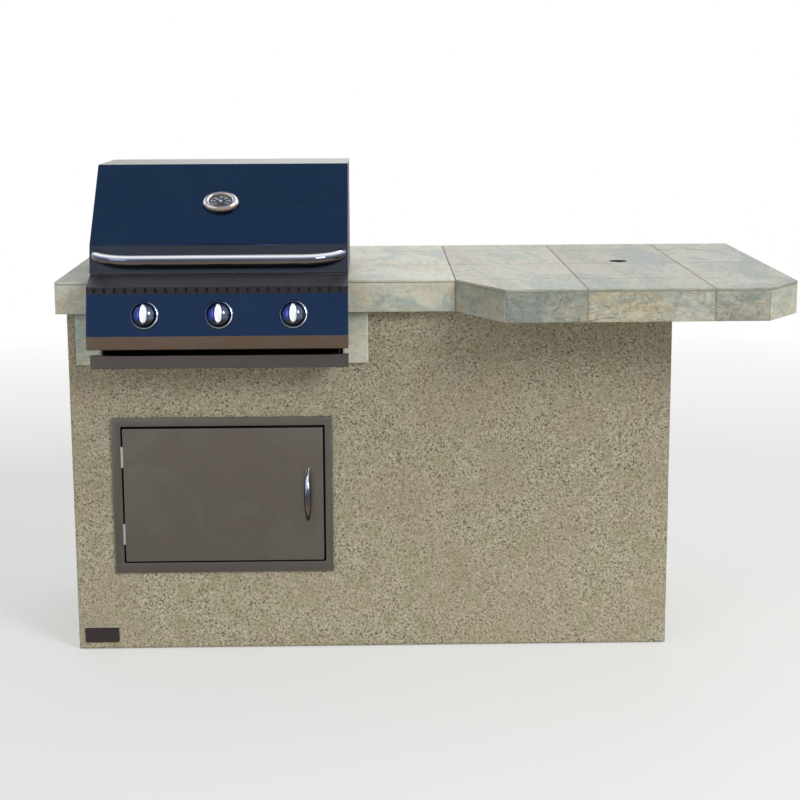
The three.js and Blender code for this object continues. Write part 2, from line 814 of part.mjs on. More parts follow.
function bowHandle() {
  const foot = -doorProud - fitGap;
  const points = [];
  const radii = [];
  for (let i = 0; i <= bowSteps; i++) {
    const along = i / bowSteps;
    const rise = Math.sin(Math.PI * along) ** doorHandleBowPower;
    const z = (along - 0.5) * (doorHandleLength - 2 * doorHandleEndRadius);
    points.push(new THREE.Vector3(0, foot - rise * doorHandleStandoff, z));
    radii.push(doorHandleEndRadius + (doorHandleMiddleRadius - doorHandleEndRadius) * rise);
  }
  const behind = box(
    -doorHandleLength, doorHandleLength, foot, foot + doorHandleLength,
    -doorHandleLength, doorHandleLength,
  );
  const x = halfDoorWidth - doorHandleFromEdge;
  return sweptBar(points, xAxis, radii).subtract(behind).translate([x, 0, 0]);
}

const door = new THREE.Group();
door.position.set(doorCentreX + doorShiftX, 0, doorCentreZ + doorShiftZ);
island.add(door);
add(door, 'door_frame', doorFrame(), brushedSteel());
add(door, 'access_door', doorPanel(), brushedSteel());
add(door, 'door_handle', bowHandle(), chrome());
['lower_door_hinge_pin', 'upper_door_hinge_pin'].forEach((name, i) => {
  const z = doorHingePlaces[i];
  const pin = rod(doorPinRadius, z - doorHingeLength / 2, z + doorHingeLength / 2, 'z');
  add(door, name, pin.translate([hingeX, hingeY, 0]), chrome());
});

// Grill head, placed by its centre line at the height of the counter's top
const tubHalf = halfGrill - flangeSeatSide - cutoutClearance;
const tubBack = cutoutBack - cutoutClearance;
const tubInnerFront = tubFront + grillSheet;
const tubInnerBack = tubBack - grillSheet;
const fireboxRimBack = hoodBack + hoodLap;
const knobPlaces = [-1, 0, 1].map((step) => knobRowShift + step * knobPitch);

// Control panel outline, from the ledge at the hood down to the lower strip
const ledgeBack = fireboxFront - fitGap;
const ledgeTop = fireboxRimHeight - hoodClearance;
const stripFront = ledgeBack - ledgeRun;
const faceTop = [stripFront - stripLean, ledgeTop - ledgeFall - stripRise];
const faceBottom = [faceTop[0] - faceLean, faceTop[1] - faceRise];
const panelBottom = faceBottom[1] - lowerStripHeight;
const faceTilt = Math.atan2(faceLean, faceRise);
const faceCentre = [(faceTop[0] + faceBottom[0]) / 2, (faceTop[1] + faceBottom[1]) / 2];
const faceNormal = [-Math.cos(faceTilt), Math.sin(faceTilt)];
const onKnobAxis = (distance) => [
  faceCentre[0] + faceNormal[0] * distance,
  faceCentre[1] + faceNormal[1] * distance,
];
const manifoldPlace = onKnobAxis(-manifoldBehindFace);

// A solid built around the knob's axis as +Z, moved to a knob's place on the panel's face
const knobTurn = 90 - THREE.MathUtils.radToDeg(faceTilt);
const atKnob = (solid, x) =>
  solid.rotate([knobTurn, 0, 0]).translate([x, faceCentre[0], faceCentre[1]]);

function hingeKnuckle(x0, length) {
  return rod(knuckleRadius, x0, x0 + length, 'x').translate([0, hingeAxisY, hingeAxisZ]);
}

function hingeBore() {
  const bore = rod(hingeRodRadius + fitGap, -halfGrill, halfGrill, 'x');
  return bore.translate([0, hingeAxisY, hingeAxisZ]);
}

const hoodKnuckleStarts = [-hingeStation, hingeStation].map((x) => x - hoodKnuckleLength / 2);

function fireboxKnuckles() {
  const pieces = [];
  for (const x of hoodKnuckleStarts) {
    for (const x0 of [x - fireboxKnuckleLength - fitGap, x + hoodKnuckleLength + fitGap]) {
      const x1 = x0 + fireboxKnuckleLength;
      pieces.push(hingeKnuckle(x0, fireboxKnuckleLength));
      pieces.push(box(x0, x1, hingeAxisY - hingeRodRadius, hingeAxisY + hingeRodRadius,
        fitGap, hingeAxisZ));
    }
  }
  return pieces;
}

// Firebox: flange and rim above the counter, tub below, rails inside, tray runners beneath
function firebox() {
  const s = grillSheet;
  const floorHigh = -tubFloorDepth;
  const floorLow = floorHigh - tubFloorFall;
  const slotMiddle = (tubFront + tubBack) / 2;
  const [slotFront, slotBack] = [slotMiddle - greaseSlotWidth / 2, slotMiddle + greaseSlotWidth / 2];
  const flange = box(-halfGrill, halfGrill, fireboxFront, flangeBack, fitGap, fitGap + s);
  const rimOuter = box(-halfGrill, halfGrill, fireboxFront, fireboxRimBack, fitGap, fireboxRimHeight);
  const rimInner = box(
    -halfGrill + s, halfGrill - s, fireboxFront + s, fireboxRimBack - s,
    fitGap + s, fireboxRimHeight + cutOverrun,
  );
  const tubOutline = [
    [tubFront, fitGap], [tubFront, floorHigh], [slotFront, floorLow], [slotBack, floorLow],
    [tubBack, floorHigh], [tubBack, fitGap],
  ];
  const tubInside = [
    [tubFront + s, fitGap + s + cutOverrun], [tubFront + s, floorHigh + s],
    [slotFront, floorLow + s], [slotBack, floorLow + s],
    [tubBack - s, floorHigh + s], [tubBack - s, fitGap + s + cutOverrun],
  ];
  const side = (x0) => box(x0, x0 + s, tubFront, tubBack, -sidePlateDepth, fitGap);
  const foot = (x0) =>
    box(x0, x0 + railReach + s, tubFront, tubBack, -sidePlateDepth, s - sidePlateDepth);
  const outside = joined([
    flange, rimOuter, prismX(tubOutline, -tubHalf, tubHalf), side(-tubHalf), side(tubHalf - s),
    foot(-tubHalf), foot(tubHalf - railReach - s),
  ]);
  const slotEnd = halfGrill - greaseSlotFromSide;
  const slot = box(-slotEnd, slotEnd, slotFront, slotBack,
    floorLow - cutOverrun, floorLow + s + cutOverrun);
  const mouths = knobPlaces.map((x) =>
    rod(burnerRadius + fitGap, tubFront - cutOverrun, tubInnerFront + cutOverrun, 'y')
      .translate([x, 0, manifoldPlace[1]]));
  const shell = cut(outside, [
    rimInner, prismX(tubInside, s - tubHalf, tubHalf - s), slot, ...mouths,
  ]);
  const rails = [shieldRailDepth, grateRailDepth].flatMap((depth) => [
    box(-tubHalf, tubHalf, tubFront, tubInnerFront + railReach, -depth, railThickness - depth),
    box(-tubHalf, tubHalf, tubInnerBack - railReach, tubBack, -depth, railThickness - depth),
  ]);
  return joined([shell, ...rails, ...fireboxKnuckles()]).subtract(hingeBore());
}

// Control panel: a folded shell, open at its back and bottom
function controlPanel() {
  const stepTop = -hoodClearance;
  const outline = [
    [ledgeBack, ledgeTop],
    [stripFront, ledgeTop - ledgeFall],
    faceTop,
    faceBottom,
    [faceBottom[0], panelBottom],
    [counterFront - hoodClearance, panelBottom],
    [counterFront - hoodClearance, stepTop],
    [ledgeBack, stepTop],
  ];
  const inside = inset(outline, panelSheet);
  const back = counterFront + cutOverrun;
  const low = panelBottom - cutOverrun;
  const openBack = [
    [inside[4][0] + lowerReturn, low], [back, low], [back, stepTop],
    [ledgeBack + cutOverrun, stepTop], [ledgeBack + cutOverrun, inside[0][1]],
    [inside[0][0], inside[0][1]], [inside[4][0] + lowerReturn, inside[4][1]],
  ];
  const innerHalf = halfGrill - panelSheet;
  const slotPitch = (grillWidth - 2 * slotMargin) / (slotCount - 1);
  const slots = Array.from({ length: slotCount }, (_, i) => {
    const x = (i - (slotCount - 1) / 2) * slotPitch;
    const z = faceTop[1] + (stripRise - slotHeight) / 2;
    return box(x - slotWidth / 2, x + slotWidth / 2, faceBottom[0], stripFront + ledgeRun / 2,
      z, z + slotHeight);
  });
  const holeRadius = stemCollarRadius + stemHoleClearance;
  const holes = knobPlaces.map((x) =>
    atKnob(rod(holeRadius, -stemTail, stemReach, 'z', fineSides), x));
  return cut(prismX(outline, -halfGrill, halfGrill), [
    prismX(inside, -innerHalf, innerHalf), prismX(openBack, -innerHalf, innerHalf),
    ...slots, ...holes,
  ]);
}

// Drip tray: a shallow pan with a wide front plate
function dripTray() {
  const half = tubHalf - grillSheet - traySideGap;
  const back = tubBack - trayBackGap;
  const front = faceBottom[0] + trayFrontSetback;
  const pan = box(-half, half, front, back, trayBottom, trayTop);
  const hollow = box(
    -half + traySheet, half - traySheet, front + trayFrontThickness, back - traySheet,
    trayBottom + traySheet, trayTop + cutOverrun,
  );
  const plateBottom = trayBottom - trayPlateDrop;
  const plate = box(-halfGrill, halfGrill, front, front + trayFrontThickness,
    plateBottom, plateBottom + trayFrontHeight);
  return pan.subtract(hollow).add(plate);
}

// Gas manifold with one valve body and one spud for each burner, bracketed to the firebox
const burnerStart = tubFront - burnerInletReach;

function gasManifold() {
  const [y, z] = manifoldPlace;
  const right = manifoldHalfLength;
  const pipe = rod(manifoldRadius, -manifoldHalfLength, right, 'x').translate([0, y, z]);
  const fitting = rod(inletFittingRadius, right, right + inletFittingLength, 'x', hexSides)
    .translate([0, y, z]);
  const valves = knobPlaces.map((x) =>
    atKnob(rod(valveRadius, -manifoldBehindFace, -valveFront, 'z'), x));
  const spudEnd = burnerStart + burnerMouthDepth / 2;
  const spuds = knobPlaces.map((x) =>
    rod(spudRadius, y, spudEnd, 'y').translate([x, 0, z]));
  const brackets = [-1, 1].map((side) => {
    const x = knobRowShift + (side * knobPitch - manifoldBracketWidth) / 2;
    const z0 = z - manifoldBracketHeight / 2;
    return box(x, x + manifoldBracketWidth, y, tubFront - fitGap, z0, z0 + manifoldBracketHeight);
  });
  const bores = knobPlaces.map((x) =>
    atKnob(rod(stemRadius + fitGap, -valveFront - valveBoreDepth, 0, 'z'), x));
  return cut(joined([pipe, fitting, ...valves, ...spuds, ...brackets]), bores);
}

function burner(x) {
  const tube = rod(burnerRadius, burnerStart, tubInnerBack - fitGap, 'y');
  const mouth = rod(
    burnerRadius - burnerWall, burnerStart - cutOverrun, burnerStart + burnerMouthDepth, 'y',
  );
  return tube.subtract(mouth).translate([x, 0, manifoldPlace[1]]);
}

function heatShield(x) {
  const z = railThickness + fitGap - shieldRailDepth;
  const half = (knobPitch - shieldGap) / 2;
  const roof = [
    [x - half, z], [x - half + shieldSheet, z], [x, z + shieldRise - shieldSheet],
    [x + half - shieldSheet, z], [x + half, z], [x, z + shieldRise],
  ];
  return prismY(roof, tubInnerFront + fitGap, tubInnerBack - fitGap);
}

function cookingGrate(x0, x1) {
  const z0 = railThickness + fitGap - grateRailDepth;
  const z1 = z0 + grateBarHeight;
  const [y0, y1] = [tubInnerFront + fitGap, tubInnerBack - fitGap];
  const w = grateBarWidth;
  const bars = Array.from({ length: grateBarCount }, (_, i) => {
    const x = x0 + ((x1 - x0 - w) * i) / (grateBarCount - 1);
    return box(x, x + w, y0, y1, z0, z1);
  });
  const crosses = Array.from({ length: grateCrossCount }, (_, i) => {
    const y = y0 + ((y1 - y0 - w) * i) / (grateCrossCount - 1);
    return box(x0, x1, y, y + w, z0, z1 - w / 2);
  });
  return joined([...bars, ...crosses]);
}

function warmingRack() {
  const half = halfGrill - grillSheet - rackSideGap;
  const back = hoodBack - rackFromHoodBack;
  const front = back - rackDepth;
  const [z0, z1] = [rackHeight, rackHeight + rackWire];
  const foot = fitGap + grillSheet + fitGap;
  const wires = Array.from({ length: rackWireCount }, (_, i) => {
    const y = front + ((rackDepth - rackWire) * i) / (rackWireCount - 1);
    return box(-half, half, y, y + rackWire, z0, z1);
  });
  const welded = rackWire / 2;
  const ends = [-half + welded, half - rackWire - welded].flatMap((x) => [
    box(x, x + rackWire, front + welded, back - welded, z0 - welded, z1 - welded),
    box(x, x + rackWire, front + welded, front + rackWire + welded, foot, z1 - welded),
    box(x, x + rackWire, back - rackWire - welded, back - welded, foot, z1 - welded),
  ]);
  return joined([...wires, ...ends]);
}

// Hood: a folded shell open at the bottom, hinged on a rod behind its back
const bandTop = [hoodFront + bandLean, hoodBottom + bandRise];
const slopeTop = [bandTop[0] + slopeRun, bandTop[1] + slopeRise];
const hoodOutline = [
  [hoodFront, hoodBottom],
  [hoodBack, hoodBottom],
  [hoodBack, slopeTop[1] - hoodTopFall - hoodBackDrop],
  [slopeTop[0] + hoodTopDepth, slopeTop[1] - hoodTopFall],
  slopeTop,
  bandTop,
];

function hood() {
  const inside = inset(hoodOutline, grillSheet);
  const innerHalf = halfGrill - grillSheet;
  const mouth = box(
    -innerHalf, innerHalf, inside[0][0], inside[1][0], hoodBottom - cutOverrun, inside[0][1],
  );
  const shell = cut(prismX(hoodOutline, -halfGrill, halfGrill), [
    prismX(inside, -innerHalf, innerHalf), mouth,
  ]);
  const knuckles = hoodKnuckleStarts.flatMap((x) => [
    hingeKnuckle(x, hoodKnuckleLength),
    box(x, x + hoodKnuckleLength, hoodBack - grillSheet, hingeAxisY,
      hingeAxisZ, hingeAxisZ + hingeWeb),
  ]);
  return joined([shell, ...knuckles]).subtract(hingeBore());
}

function hoodHandle() {
  const z = hoodBottom + handleAboveHoodBottom;
  const bandY = hoodFront + (bandLean * handleAboveHoodBottom) / bandRise;
  const endX = halfGrill - handleEndInset;
  const start = [bandY + handleDiameter / 2, bandY - handleStandoff];
  const leftHalf = [];
  for (let i = 0; i <= bendSteps; i++) {
    const angle = (Math.PI / 2 * i) / bendSteps;
    leftHalf.push(new THREE.Vector3(
      -endX + handleBend * (1 - Math.cos(angle)),
      start[0] + (start[1] - start[0]) * Math.sin(angle),
      z + handleFootRise * (1 - Math.sin(angle)),
    ));
  }
  const rightHalf = leftHalf.map((p) => new THREE.Vector3(-p.x, p.y, p.z)).reverse();
  const points = [...leftHalf, ...rightHalf];
  const bar = sweptBar(points, zAxis, points.map(() => handleDiameter / 2), fineSides / 2);
  const bandGap = fitGap / Math.cos(Math.atan2(bandLean, bandRise));
  const behindBand = [
    [hoodFront - bandGap, hoodBottom],
    [bandTop[0] + handleStandoff, hoodBottom],
    [bandTop[0] + handleStandoff, bandTop[1]],
    [bandTop[0] - bandGap, bandTop[1]],
  ];
  return bar.subtract(prismX(behindBand, -grillWidth, grillWidth));
}

function hingeRod() {
  const half = hingeStation + hoodKnuckleLength / 2 + fireboxKnuckleLength + hingeWeb;
  return rod(hingeRodRadius, -half, half, 'x').translate([0, hingeAxisY, hingeAxisZ]);
}

const grill = new THREE.Group();
grill.position.set(grillCentre, 0, counterTop);
island.add(grill);
add(grill, 'firebox', firebox(), enamel());
add(grill, 'control_panel', controlPanel(), blueSteel());
add(grill, 'drip_tray', dripTray(), brushedSteel());
add(grill, 'gas_manifold', gasManifold(), brass());
add(grill, 'warming_rack', warmingRack(), chrome());
add(grill, 'hood', hood(), blueSteel());
add(grill, 'hood_handle', hoodHandle(), chrome());
add(grill, 'hood_hinge_rod', hingeRod(), brushedSteel());
knobPlaces.forEach((x, i) => {
  add(grill, `burner_${i + 1}`, burner(x), brushedSteel());
  add(grill, `heat_shield_${i + 1}`, heatShield(x), brushedSteel());
});
const grateHalf = tubHalf - grillSheet - grateSideGap;
[[-grateHalf, -grateSideGap / 2], [grateSideGap / 2, grateHalf]].forEach(([x0, x1], i) => {
  add(grill, `cooking_grate_${i + 1}`, cookingGrate(x0, x1), castIron());
});

// Knobs: each set is built around its own axis, +Z out of the panel's face
function knob() {
  const top = knobBack + knobSkirtHeight;
  const body = turned([
    [0, knobBack],
    ...knobSkirtShares.map(([out, up]) => [knobRadius * out, knobBack + knobSkirtHeight * up]),
    ...knobDomeShares.map(([out, up]) => [knobRadius * out, top + knobDomeHeight * up]),
  ]);
  const half = gripWidth / 2;
  const halfTop = half * gripTopShare;
  const halfLength = knobRadius * gripLengthShare;
  const gripTop = knobBack + gripHeight;
  const gripSection = [[-half, top], [half, top], [halfTop, gripTop], [-halfTop, gripTop]];
  const grip = prismY(gripSection, -halfLength, halfLength);
  const bore = rod(stemRadius + fitGap, 0, stemReach + fitGap, 'z');
  return body.add(grip).subtract(bore);
}

function knobBezel() {
  const inner = knobRadius + bezelClearance;
  const outer = inner + bezelWidth;
  return turned([
    [inner, fitGap],
    [outer, fitGap],
    [outer, bezelHeight * bezelShoulderShare],
    [(inner + outer) / 2, bezelHeight],
    [inner, bezelHeight * bezelLipShare],
    [inner, fitGap],
  ]);
}

function valveStem() {
  const collarStart = -stemCollarPlace;
  const collar = rod(stemCollarRadius, collarStart, collarStart + stemCollarThickness, 'z');
  return rod(stemRadius, -stemTail, stemReach, 'z').add(collar);
}

knobPlaces.forEach((x, i) => {
  const station = new THREE.Group();
  station.position.set(x, faceCentre[0], faceCentre[1]);
  station.rotation.x = THREE.MathUtils.degToRad(knobTurn);
  grill.add(station);
  add(station, `knob_bezel_${i + 1}`, knobBezel(), chrome());
  add(station, `valve_stem_${i + 1}`, valveStem(), brass());
  add(station, `knob_${i + 1}`, knob(), chrome());
});

// Thermometer: built on the middle of the hood's slope, +Z out of the sheet, +Y up the slope
function thermometerCase() {
  const body = prismZ(ellipse(thermometerLength, thermometerHeight), fitGap, thermometerDepth);
  const recess = prismZ(ellipse(dialLength, dialHeight), thermometerDepth - dialRecess,
    thermometerDepth + cutOverrun);
  return body.subtract(recess);
}

function thermometerNeedle() {
  const z0 = thermometerDepth - dialRecess + needleAboveDial;
  const half = needleWidth / 2;
  const tip = half * needleTipShare;
  const pointer = prismZ([
    [-needleTail, -half], [0, -half], [needleLength, -tip], [needleLength, tip],
    [0, half], [-needleTail, half],
  ], z0, z0 + needleThickness).rotate([0, 0, needleColdDeg]);
  const hub = rod(needleHubRadius, thermometerDepth - dialRecess + fitGap, z0 + needleThickness, 'z');
  return pointer.add(hub);
}

const thermometer = new THREE.Group();
thermometer.position.set(
  0, (bandTop[0] + slopeTop[0]) / 2, (bandTop[1] + slopeTop[1]) / 2,
);
thermometer.rotation.x = Math.atan2(slopeRise, slopeRun);
grill.add(thermometer);
add(thermometer, 'thermometer_case', thermometerCase(), chrome());
add(thermometer, 'thermometer_needle', thermometerNeedle(), needleRed());

export default island;
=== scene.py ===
import bmesh
import bpy
import math
import random
from mathutils import Matrix, Vector, noise


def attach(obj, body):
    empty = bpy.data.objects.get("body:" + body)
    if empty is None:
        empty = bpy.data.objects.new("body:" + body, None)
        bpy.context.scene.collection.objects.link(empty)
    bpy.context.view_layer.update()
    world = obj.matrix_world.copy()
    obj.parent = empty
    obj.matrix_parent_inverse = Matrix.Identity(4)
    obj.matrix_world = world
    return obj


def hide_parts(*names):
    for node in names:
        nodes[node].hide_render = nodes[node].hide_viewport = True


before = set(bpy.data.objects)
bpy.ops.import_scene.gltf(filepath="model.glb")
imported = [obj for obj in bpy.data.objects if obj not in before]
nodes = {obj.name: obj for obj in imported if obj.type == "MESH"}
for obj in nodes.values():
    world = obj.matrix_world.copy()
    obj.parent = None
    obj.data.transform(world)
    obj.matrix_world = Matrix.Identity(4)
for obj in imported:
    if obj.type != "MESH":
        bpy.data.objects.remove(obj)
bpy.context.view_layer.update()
scene = bpy.context.scene
print("frame: %d nodes" % len(nodes))

# Sizes are in millimetres. X starts at the cabinet's left face, Y at its front face, Z at the floor.
unit = 0.001
islandOrigin = Vector((-0.8945, -0.2475, 0))
grillOrigin = islandOrigin + Vector((0.3895, 0, 0.965))  # grill's centre line, top of the counter
doorOrigin = islandOrigin + Vector((0.3845, 0, 0.41234))  # middle of the door panel


def placed(origin, tilt=0.0, shift=(0, 0, 0)):
    at = Matrix.Translation(origin + Vector(shift) * unit)
    return at @ Matrix.Rotation(tilt, 4, "X") @ Matrix.Scale(unit, 4)


islandPlace, grillPlace, doorPlace = (placed(origin) for origin in (islandOrigin, grillOrigin, doorOrigin))
bench = {}  # holds the shader tree that is being built


def rgb(red, green, blue):
    # a colour as a screen shows it, turned into the shader's linear values
    return tuple(((c / 255 + 0.055) / 1.055) ** 2.4 if c > 10 else c / 255 / 12.92
                 for c in (red, green, blue)) + (1.0,)


def feed(value, socket):
    # a socket takes a link from another one, or a plain value
    if isinstance(value, bpy.types.NodeSocket):
        bench["tree"].links.new(value, socket)
    else:
        socket.default_value = value


def put(kind, sockets=None, **settings):
    made = bench["tree"].nodes.new("ShaderNode" + kind)
    for key, value in settings.items():
        setattr(made, key, value)
    for key, value in (sockets or {}).items():
        feed(value, made.inputs[key])
    return made


def calc(operation, first, second=0.0):
    return put("Math", {0: first, 1: second}, operation=operation).outputs[0]


def plus(first, *others):
    for other in others:
        first = calc("ADD", first, other)
    return first


def times(first, *others):
    for other in others:
        first = calc("MULTIPLY", first, other)
    return first


def dot(first, second):
    return put("VectorMath", {0: first, 1: second}, operation="DOT_PRODUCT").outputs["Value"]


def remap(value, low, high, newLow=0.0, newHigh=1.0):
    return put("MapRange", {0: value, 1: low, 2: high, 3: newLow, 4: newHigh}).outputs[0]


def tint(factor, first, second, blend="MIX"):
    return put("Mix", {0: factor, 6: first, 7: second}, data_type="RGBA", blend_type=blend).outputs[2]


def ramp(factor, stops):
    made = put("ValToRGB", {0: factor})
    scale = made.color_ramp
    scale.interpolation = "EASE"
    while len(scale.elements) < len(stops):
        scale.elements.new(0.5)
    for element, (place, colour) in zip(scale.elements, stops):
        element.position = place
        element.color = colour
    return made.outputs[0]


def objectPlace():
    return put("TexCoord").outputs["Object"]


def cloud(coordinates, scale, detail=4.0, rough=0.55, distortion=0.0, stretch=None):
    if stretch:
        coordinates = put("VectorMath", {0: coordinates, 1: stretch}, operation="MULTIPLY").outputs[0]
    return put("TexNoise", {"Vector": coordinates, "Scale": scale, "Detail": detail, "Roughness": rough,
                            "Distortion": distortion}).outputs["Fac"]


def newGroup(name, inputs, outputs):
    tree = bench["tree"] = bpy.data.node_groups.new(name, "ShaderNodeTree")
    kinds = {"value": "NodeSocketFloat", "colour": "NodeSocketColor", "vector": "NodeSocketVector"}
    for label, kind, start in inputs:
        tree.interface.new_socket(label, in_out="INPUT", socket_type=kinds[kind]).default_value = start
    for label, kind in outputs:
        tree.interface.new_socket(label, in_out="OUTPUT", socket_type=kinds[kind])
    return tree.nodes.new("NodeGroupInput").outputs, tree.nodes.new("NodeGroupOutput").inputs


def useGroup(name, sockets=None):
    return put("Group", sockets, node_tree=bpy.data.node_groups[name]).outputs


# brushedGrain: long fine scratches
given, result = newGroup("brushedGrain", [("Stretch", "vector", (4, 900, 900))], [("Streak", "value")])
fine = cloud(objectPlace(), 1.0, 2.0, 0.6, stretch=given["Stretch"])
broad = cloud(objectPlace(), 0.22, 2.0, 0.5, stretch=given["Stretch"])
feed(plus(times(fine, 0.6), times(broad, 0.4)), result["Streak"])

# handMarks: wiped smears, dried drops and dust that dull a surface
given, result = newGroup("handMarks", [("Scale", "value", 6.0), ("Amount", "value", 0.5)], [("Mask", "value")])
spot = objectPlace()
smears = cloud(spot, given["Scale"], 5.0, 0.6, 1.2)
drops = put("TexVoronoi", {"Vector": spot, "Scale": times(given["Scale"], 16.0)}).outputs["Distance"]
chosen = calc("GREATER_THAN", cloud(spot, 9.0, 2.0), 0.56)
drops = times(remap(drops, 0.05, 0.16, 1.0, 0.0), chosen, 0.6)
feed(times(calc("MAXIMUM", remap(smears, 0.45, 0.75), drops), given["Amount"]), result["Mask"])

# edgeWearAndHighlight: 1 along edges, broken up, 0 on the flat; the edges it marks are made paler, as wear and as
# painted highlight
given, result = newGroup("edgeWearAndHighlight", [("Radius", "value", 0.0015), ("Amount", "value", 1.0)], [("Mask", "value")])
soft = put("Bevel", {"Radius": given["Radius"]}, samples=4).outputs[0]
facing = dot(soft, put("NewGeometry").outputs["Normal"])
broken = remap(cloud(objectPlace(), 90.0, 3.0), 0.35, 0.6, 0.25, 1.0)
feed(times(remap(facing, 0.995, 0.88), broken, given["Amount"]), result["Mask"])

# paintedSkyReflection: painted reflection of bright metal out of doors by the way each face points, pale above,
# dark at the horizon, brown from the ground
paintedSkyStops = [(0.04, rgb(48, 46, 45)), (0.2, rgb(92, 83, 76)), (0.31, rgb(104, 92, 81)), (0.42, rgb(82, 75, 72)),
            (0.52, rgb(62, 62, 72)), (0.62, rgb(70, 76, 92)), (0.71, rgb(120, 132, 165)),
            (0.79, rgb(214, 219, 230)), (0.88, rgb(252, 253, 255)), (0.97, rgb(150, 152, 156))]
given, result = newGroup("paintedSkyReflection", [("Tint", "colour", (1, 1, 1, 1))], [("Color", "colour")])
up = put("SeparateXYZ", {0: put("TexCoord").outputs["Normal"]}).outputs[2]
feed(tint(1.0, ramp(remap(up, -1.0, 1.0), paintedSkyStops), given["Tint"], "MULTIPLY"), result["Color"])

# paintedGlints: painted reflections, the colours a bright turned part mirrors on its left, middle, right, upper
# and lower sides, by the way each face points
glintSides = ("Left", "Middle", "Right", "Above", "Below")
given, result = newGroup("paintedGlints", [("Up", "vector", (0, 0, 1))]
                         + [(side, "colour", (1, 1, 1, 1)) for side in glintSides], [("Color", "colour")])
facing = put("TexCoord").outputs["Normal"]
across = put("SeparateXYZ", {0: facing}).outputs[0]
lift = dot(facing, given["Up"])
sweep = tint(remap(across, -0.6, -0.2), given["Left"], given["Middle"])
sweep = tint(remap(across, 0.12, 0.36), sweep, given["Right"])
sweep = tint(remap(lift, 0.45, 0.8), sweep, given["Above"])
feed(tint(remap(lift, -0.28, -0.48), sweep, given["Below"]), result["Color"])


def newMaterial(name):
    material = bpy.data.materials.new(name)
    material.use_nodes = True
    bench["tree"] = material.node_tree
    return material, bench["tree"].nodes["Principled BSDF"].inputs


def roughen(shader, height, strength, distance):
    feed(put("Bump", {"Strength": strength, "Distance": distance, "Height": height}).outputs[0], shader["Normal"])


def steelFinish(name, base, **changes):
    # sheet or bar steel: colour, gloss, grain direction, smears and bright edges from one look; the bright edges
    # are painted highlight, partly wear
    look = dict(base, **changes)
    material, shader = newMaterial(name)
    streak = useGroup("brushedGrain", {"Stretch": look["stretch"]})["Streak"]
    marks = useGroup("handMarks", {"Amount": look["marks"]})["Mask"]
    # glints and a colour of sky give painted reflections as the base colour
    if "glints" in look:
        shade = useGroup("paintedGlints", look["glints"])["Color"]
    else:
        shade = useGroup("paintedSkyReflection")["Color"] if look["colour"] == "sky" else rgb(*look["colour"])
    shade = tint(remap(streak, 0.3, 0.7, 0.0, look["grain"]), shade, rgb(*look["dark"]))
    shade = tint(marks, shade, rgb(*look["dust"]))
    # painted highlight along the edges, partly wear
    if look["edge"]:
        wornAndLitEdge = useGroup("edgeWearAndHighlight", {"Radius": 0.0012, "Amount": look["edge"]})["Mask"]
        shade = tint(wornAndLitEdge, shade, rgb(150, 155, 165))
    feed(shade, shader["Base Color"])
    shader["Metallic"].default_value = look["metallic"]
    feed(plus(remap(streak, 0.3, 0.7, *look["rough"]), times(marks, 0.18)), shader["Roughness"])
    roughen(shader, streak, 0.25, look["bump"] * unit)
    return material


def newObject(name, data):
    made = bpy.data.objects.new(name, data)
    scene.collection.objects.link(made)
    return made


def toMesh(bm, name="spare"):
    mesh = bpy.data.meshes.new(name)
    bm.to_mesh(mesh)
    bm.free()
    return mesh


def circle(sides):
    return [(math.cos(math.tau * k / sides), math.sin(math.tau * k / sides)) for k in range(sides)]


def skin(bm, loops, closed=False, ends=False, smooth=False):
    # faces from each loop of points to the next; a loop may be a single point
    for low, high in zip(loops, loops[1:] + (loops[:1] if closed else [])):
        count = max(len(low), len(high))
        for k in range(count):
            j = (k + 1) % count
            corners = [low[k % len(low)], low[j % len(low)], high[j % len(high)], high[k % len(high)]]
            kept = [v for i, v in enumerate(corners) if v not in corners[:i]]
            if len(kept) > 2:
                bm.faces.new(kept).smooth = smooth
    if ends:
        bm.faces.new(loops[0])
        bm.faces.new(loops[-1])


def addPrism(bm, outline, low, high, along="Z"):
    turn = {"X": lambda a, b, c: (c, a, b), "Y": lambda a, b, c: (a, c, b), "Z": lambda a, b, c: (a, b, c)}[along]
    skin(bm, [[bm.verts.new(turn(a, b, level)) for a, b in outline] for level in (low, high)], ends=True)


def rectangle(x0, x1, y0, y1):
    return [(x0, y0), (x1, y0), (x1, y1), (x0, y1)]


def roundedRectangle(x0, x1, y0, y1, radius, steps=5):
    corners = [(x1 - radius, y0 + radius, -90), (x1 - radius, y1 - radius, 0),
               (x0 + radius, y1 - radius, 90), (x0 + radius, y0 + radius, 180)]
    return [(x + radius * math.cos(math.radians(start + 90 * k / steps)),
             y + radius * math.sin(math.radians(start + 90 * k / steps)))
            for x, y, start in corners for k in range(steps + 1)]


def softPrism(outline, low, high, width, along="Z", segments=2):
    # a prism with its sharp edges rounded; only the rounding is shaded smooth
    bm = bmesh.new()
    addPrism(bm, outline, low, high, along)
    bmesh.ops.recalc_face_normals(bm, faces=bm.faces)
    edges = [e for e in bm.edges if e.calc_face_angle() > math.radians(25)]
    made = bmesh.ops.bevel(bm, geom=edges, offset=width, offset_type="OFFSET", segments=segments,
                           profile=0.5, affect="EDGES", clamp_overlap=True)
    for face in made["faces"]:
        face.smooth = True
    return bm


def merge(bm, other, paint=None):
    if paint is not None:
        for face in other.faces:
            face.material_index = paint
    spare = toMesh(other)
    bm.from_mesh(spare)
    bpy.data.meshes.remove(spare)


def addTurned(bm, profile, sides, closed=False, stretch=(1, 1), middle=(0, 0)):
    # a profile of (radius, height) turned about Z; stretch makes it an ellipse
    skin(bm, [[bm.verts.new((middle[0] + radius * stretch[0] * c, middle[1] + radius * stretch[1] * s, height))
               for c, s in (circle(sides) if radius else [(0, 0)])] for radius, height in profile], closed)


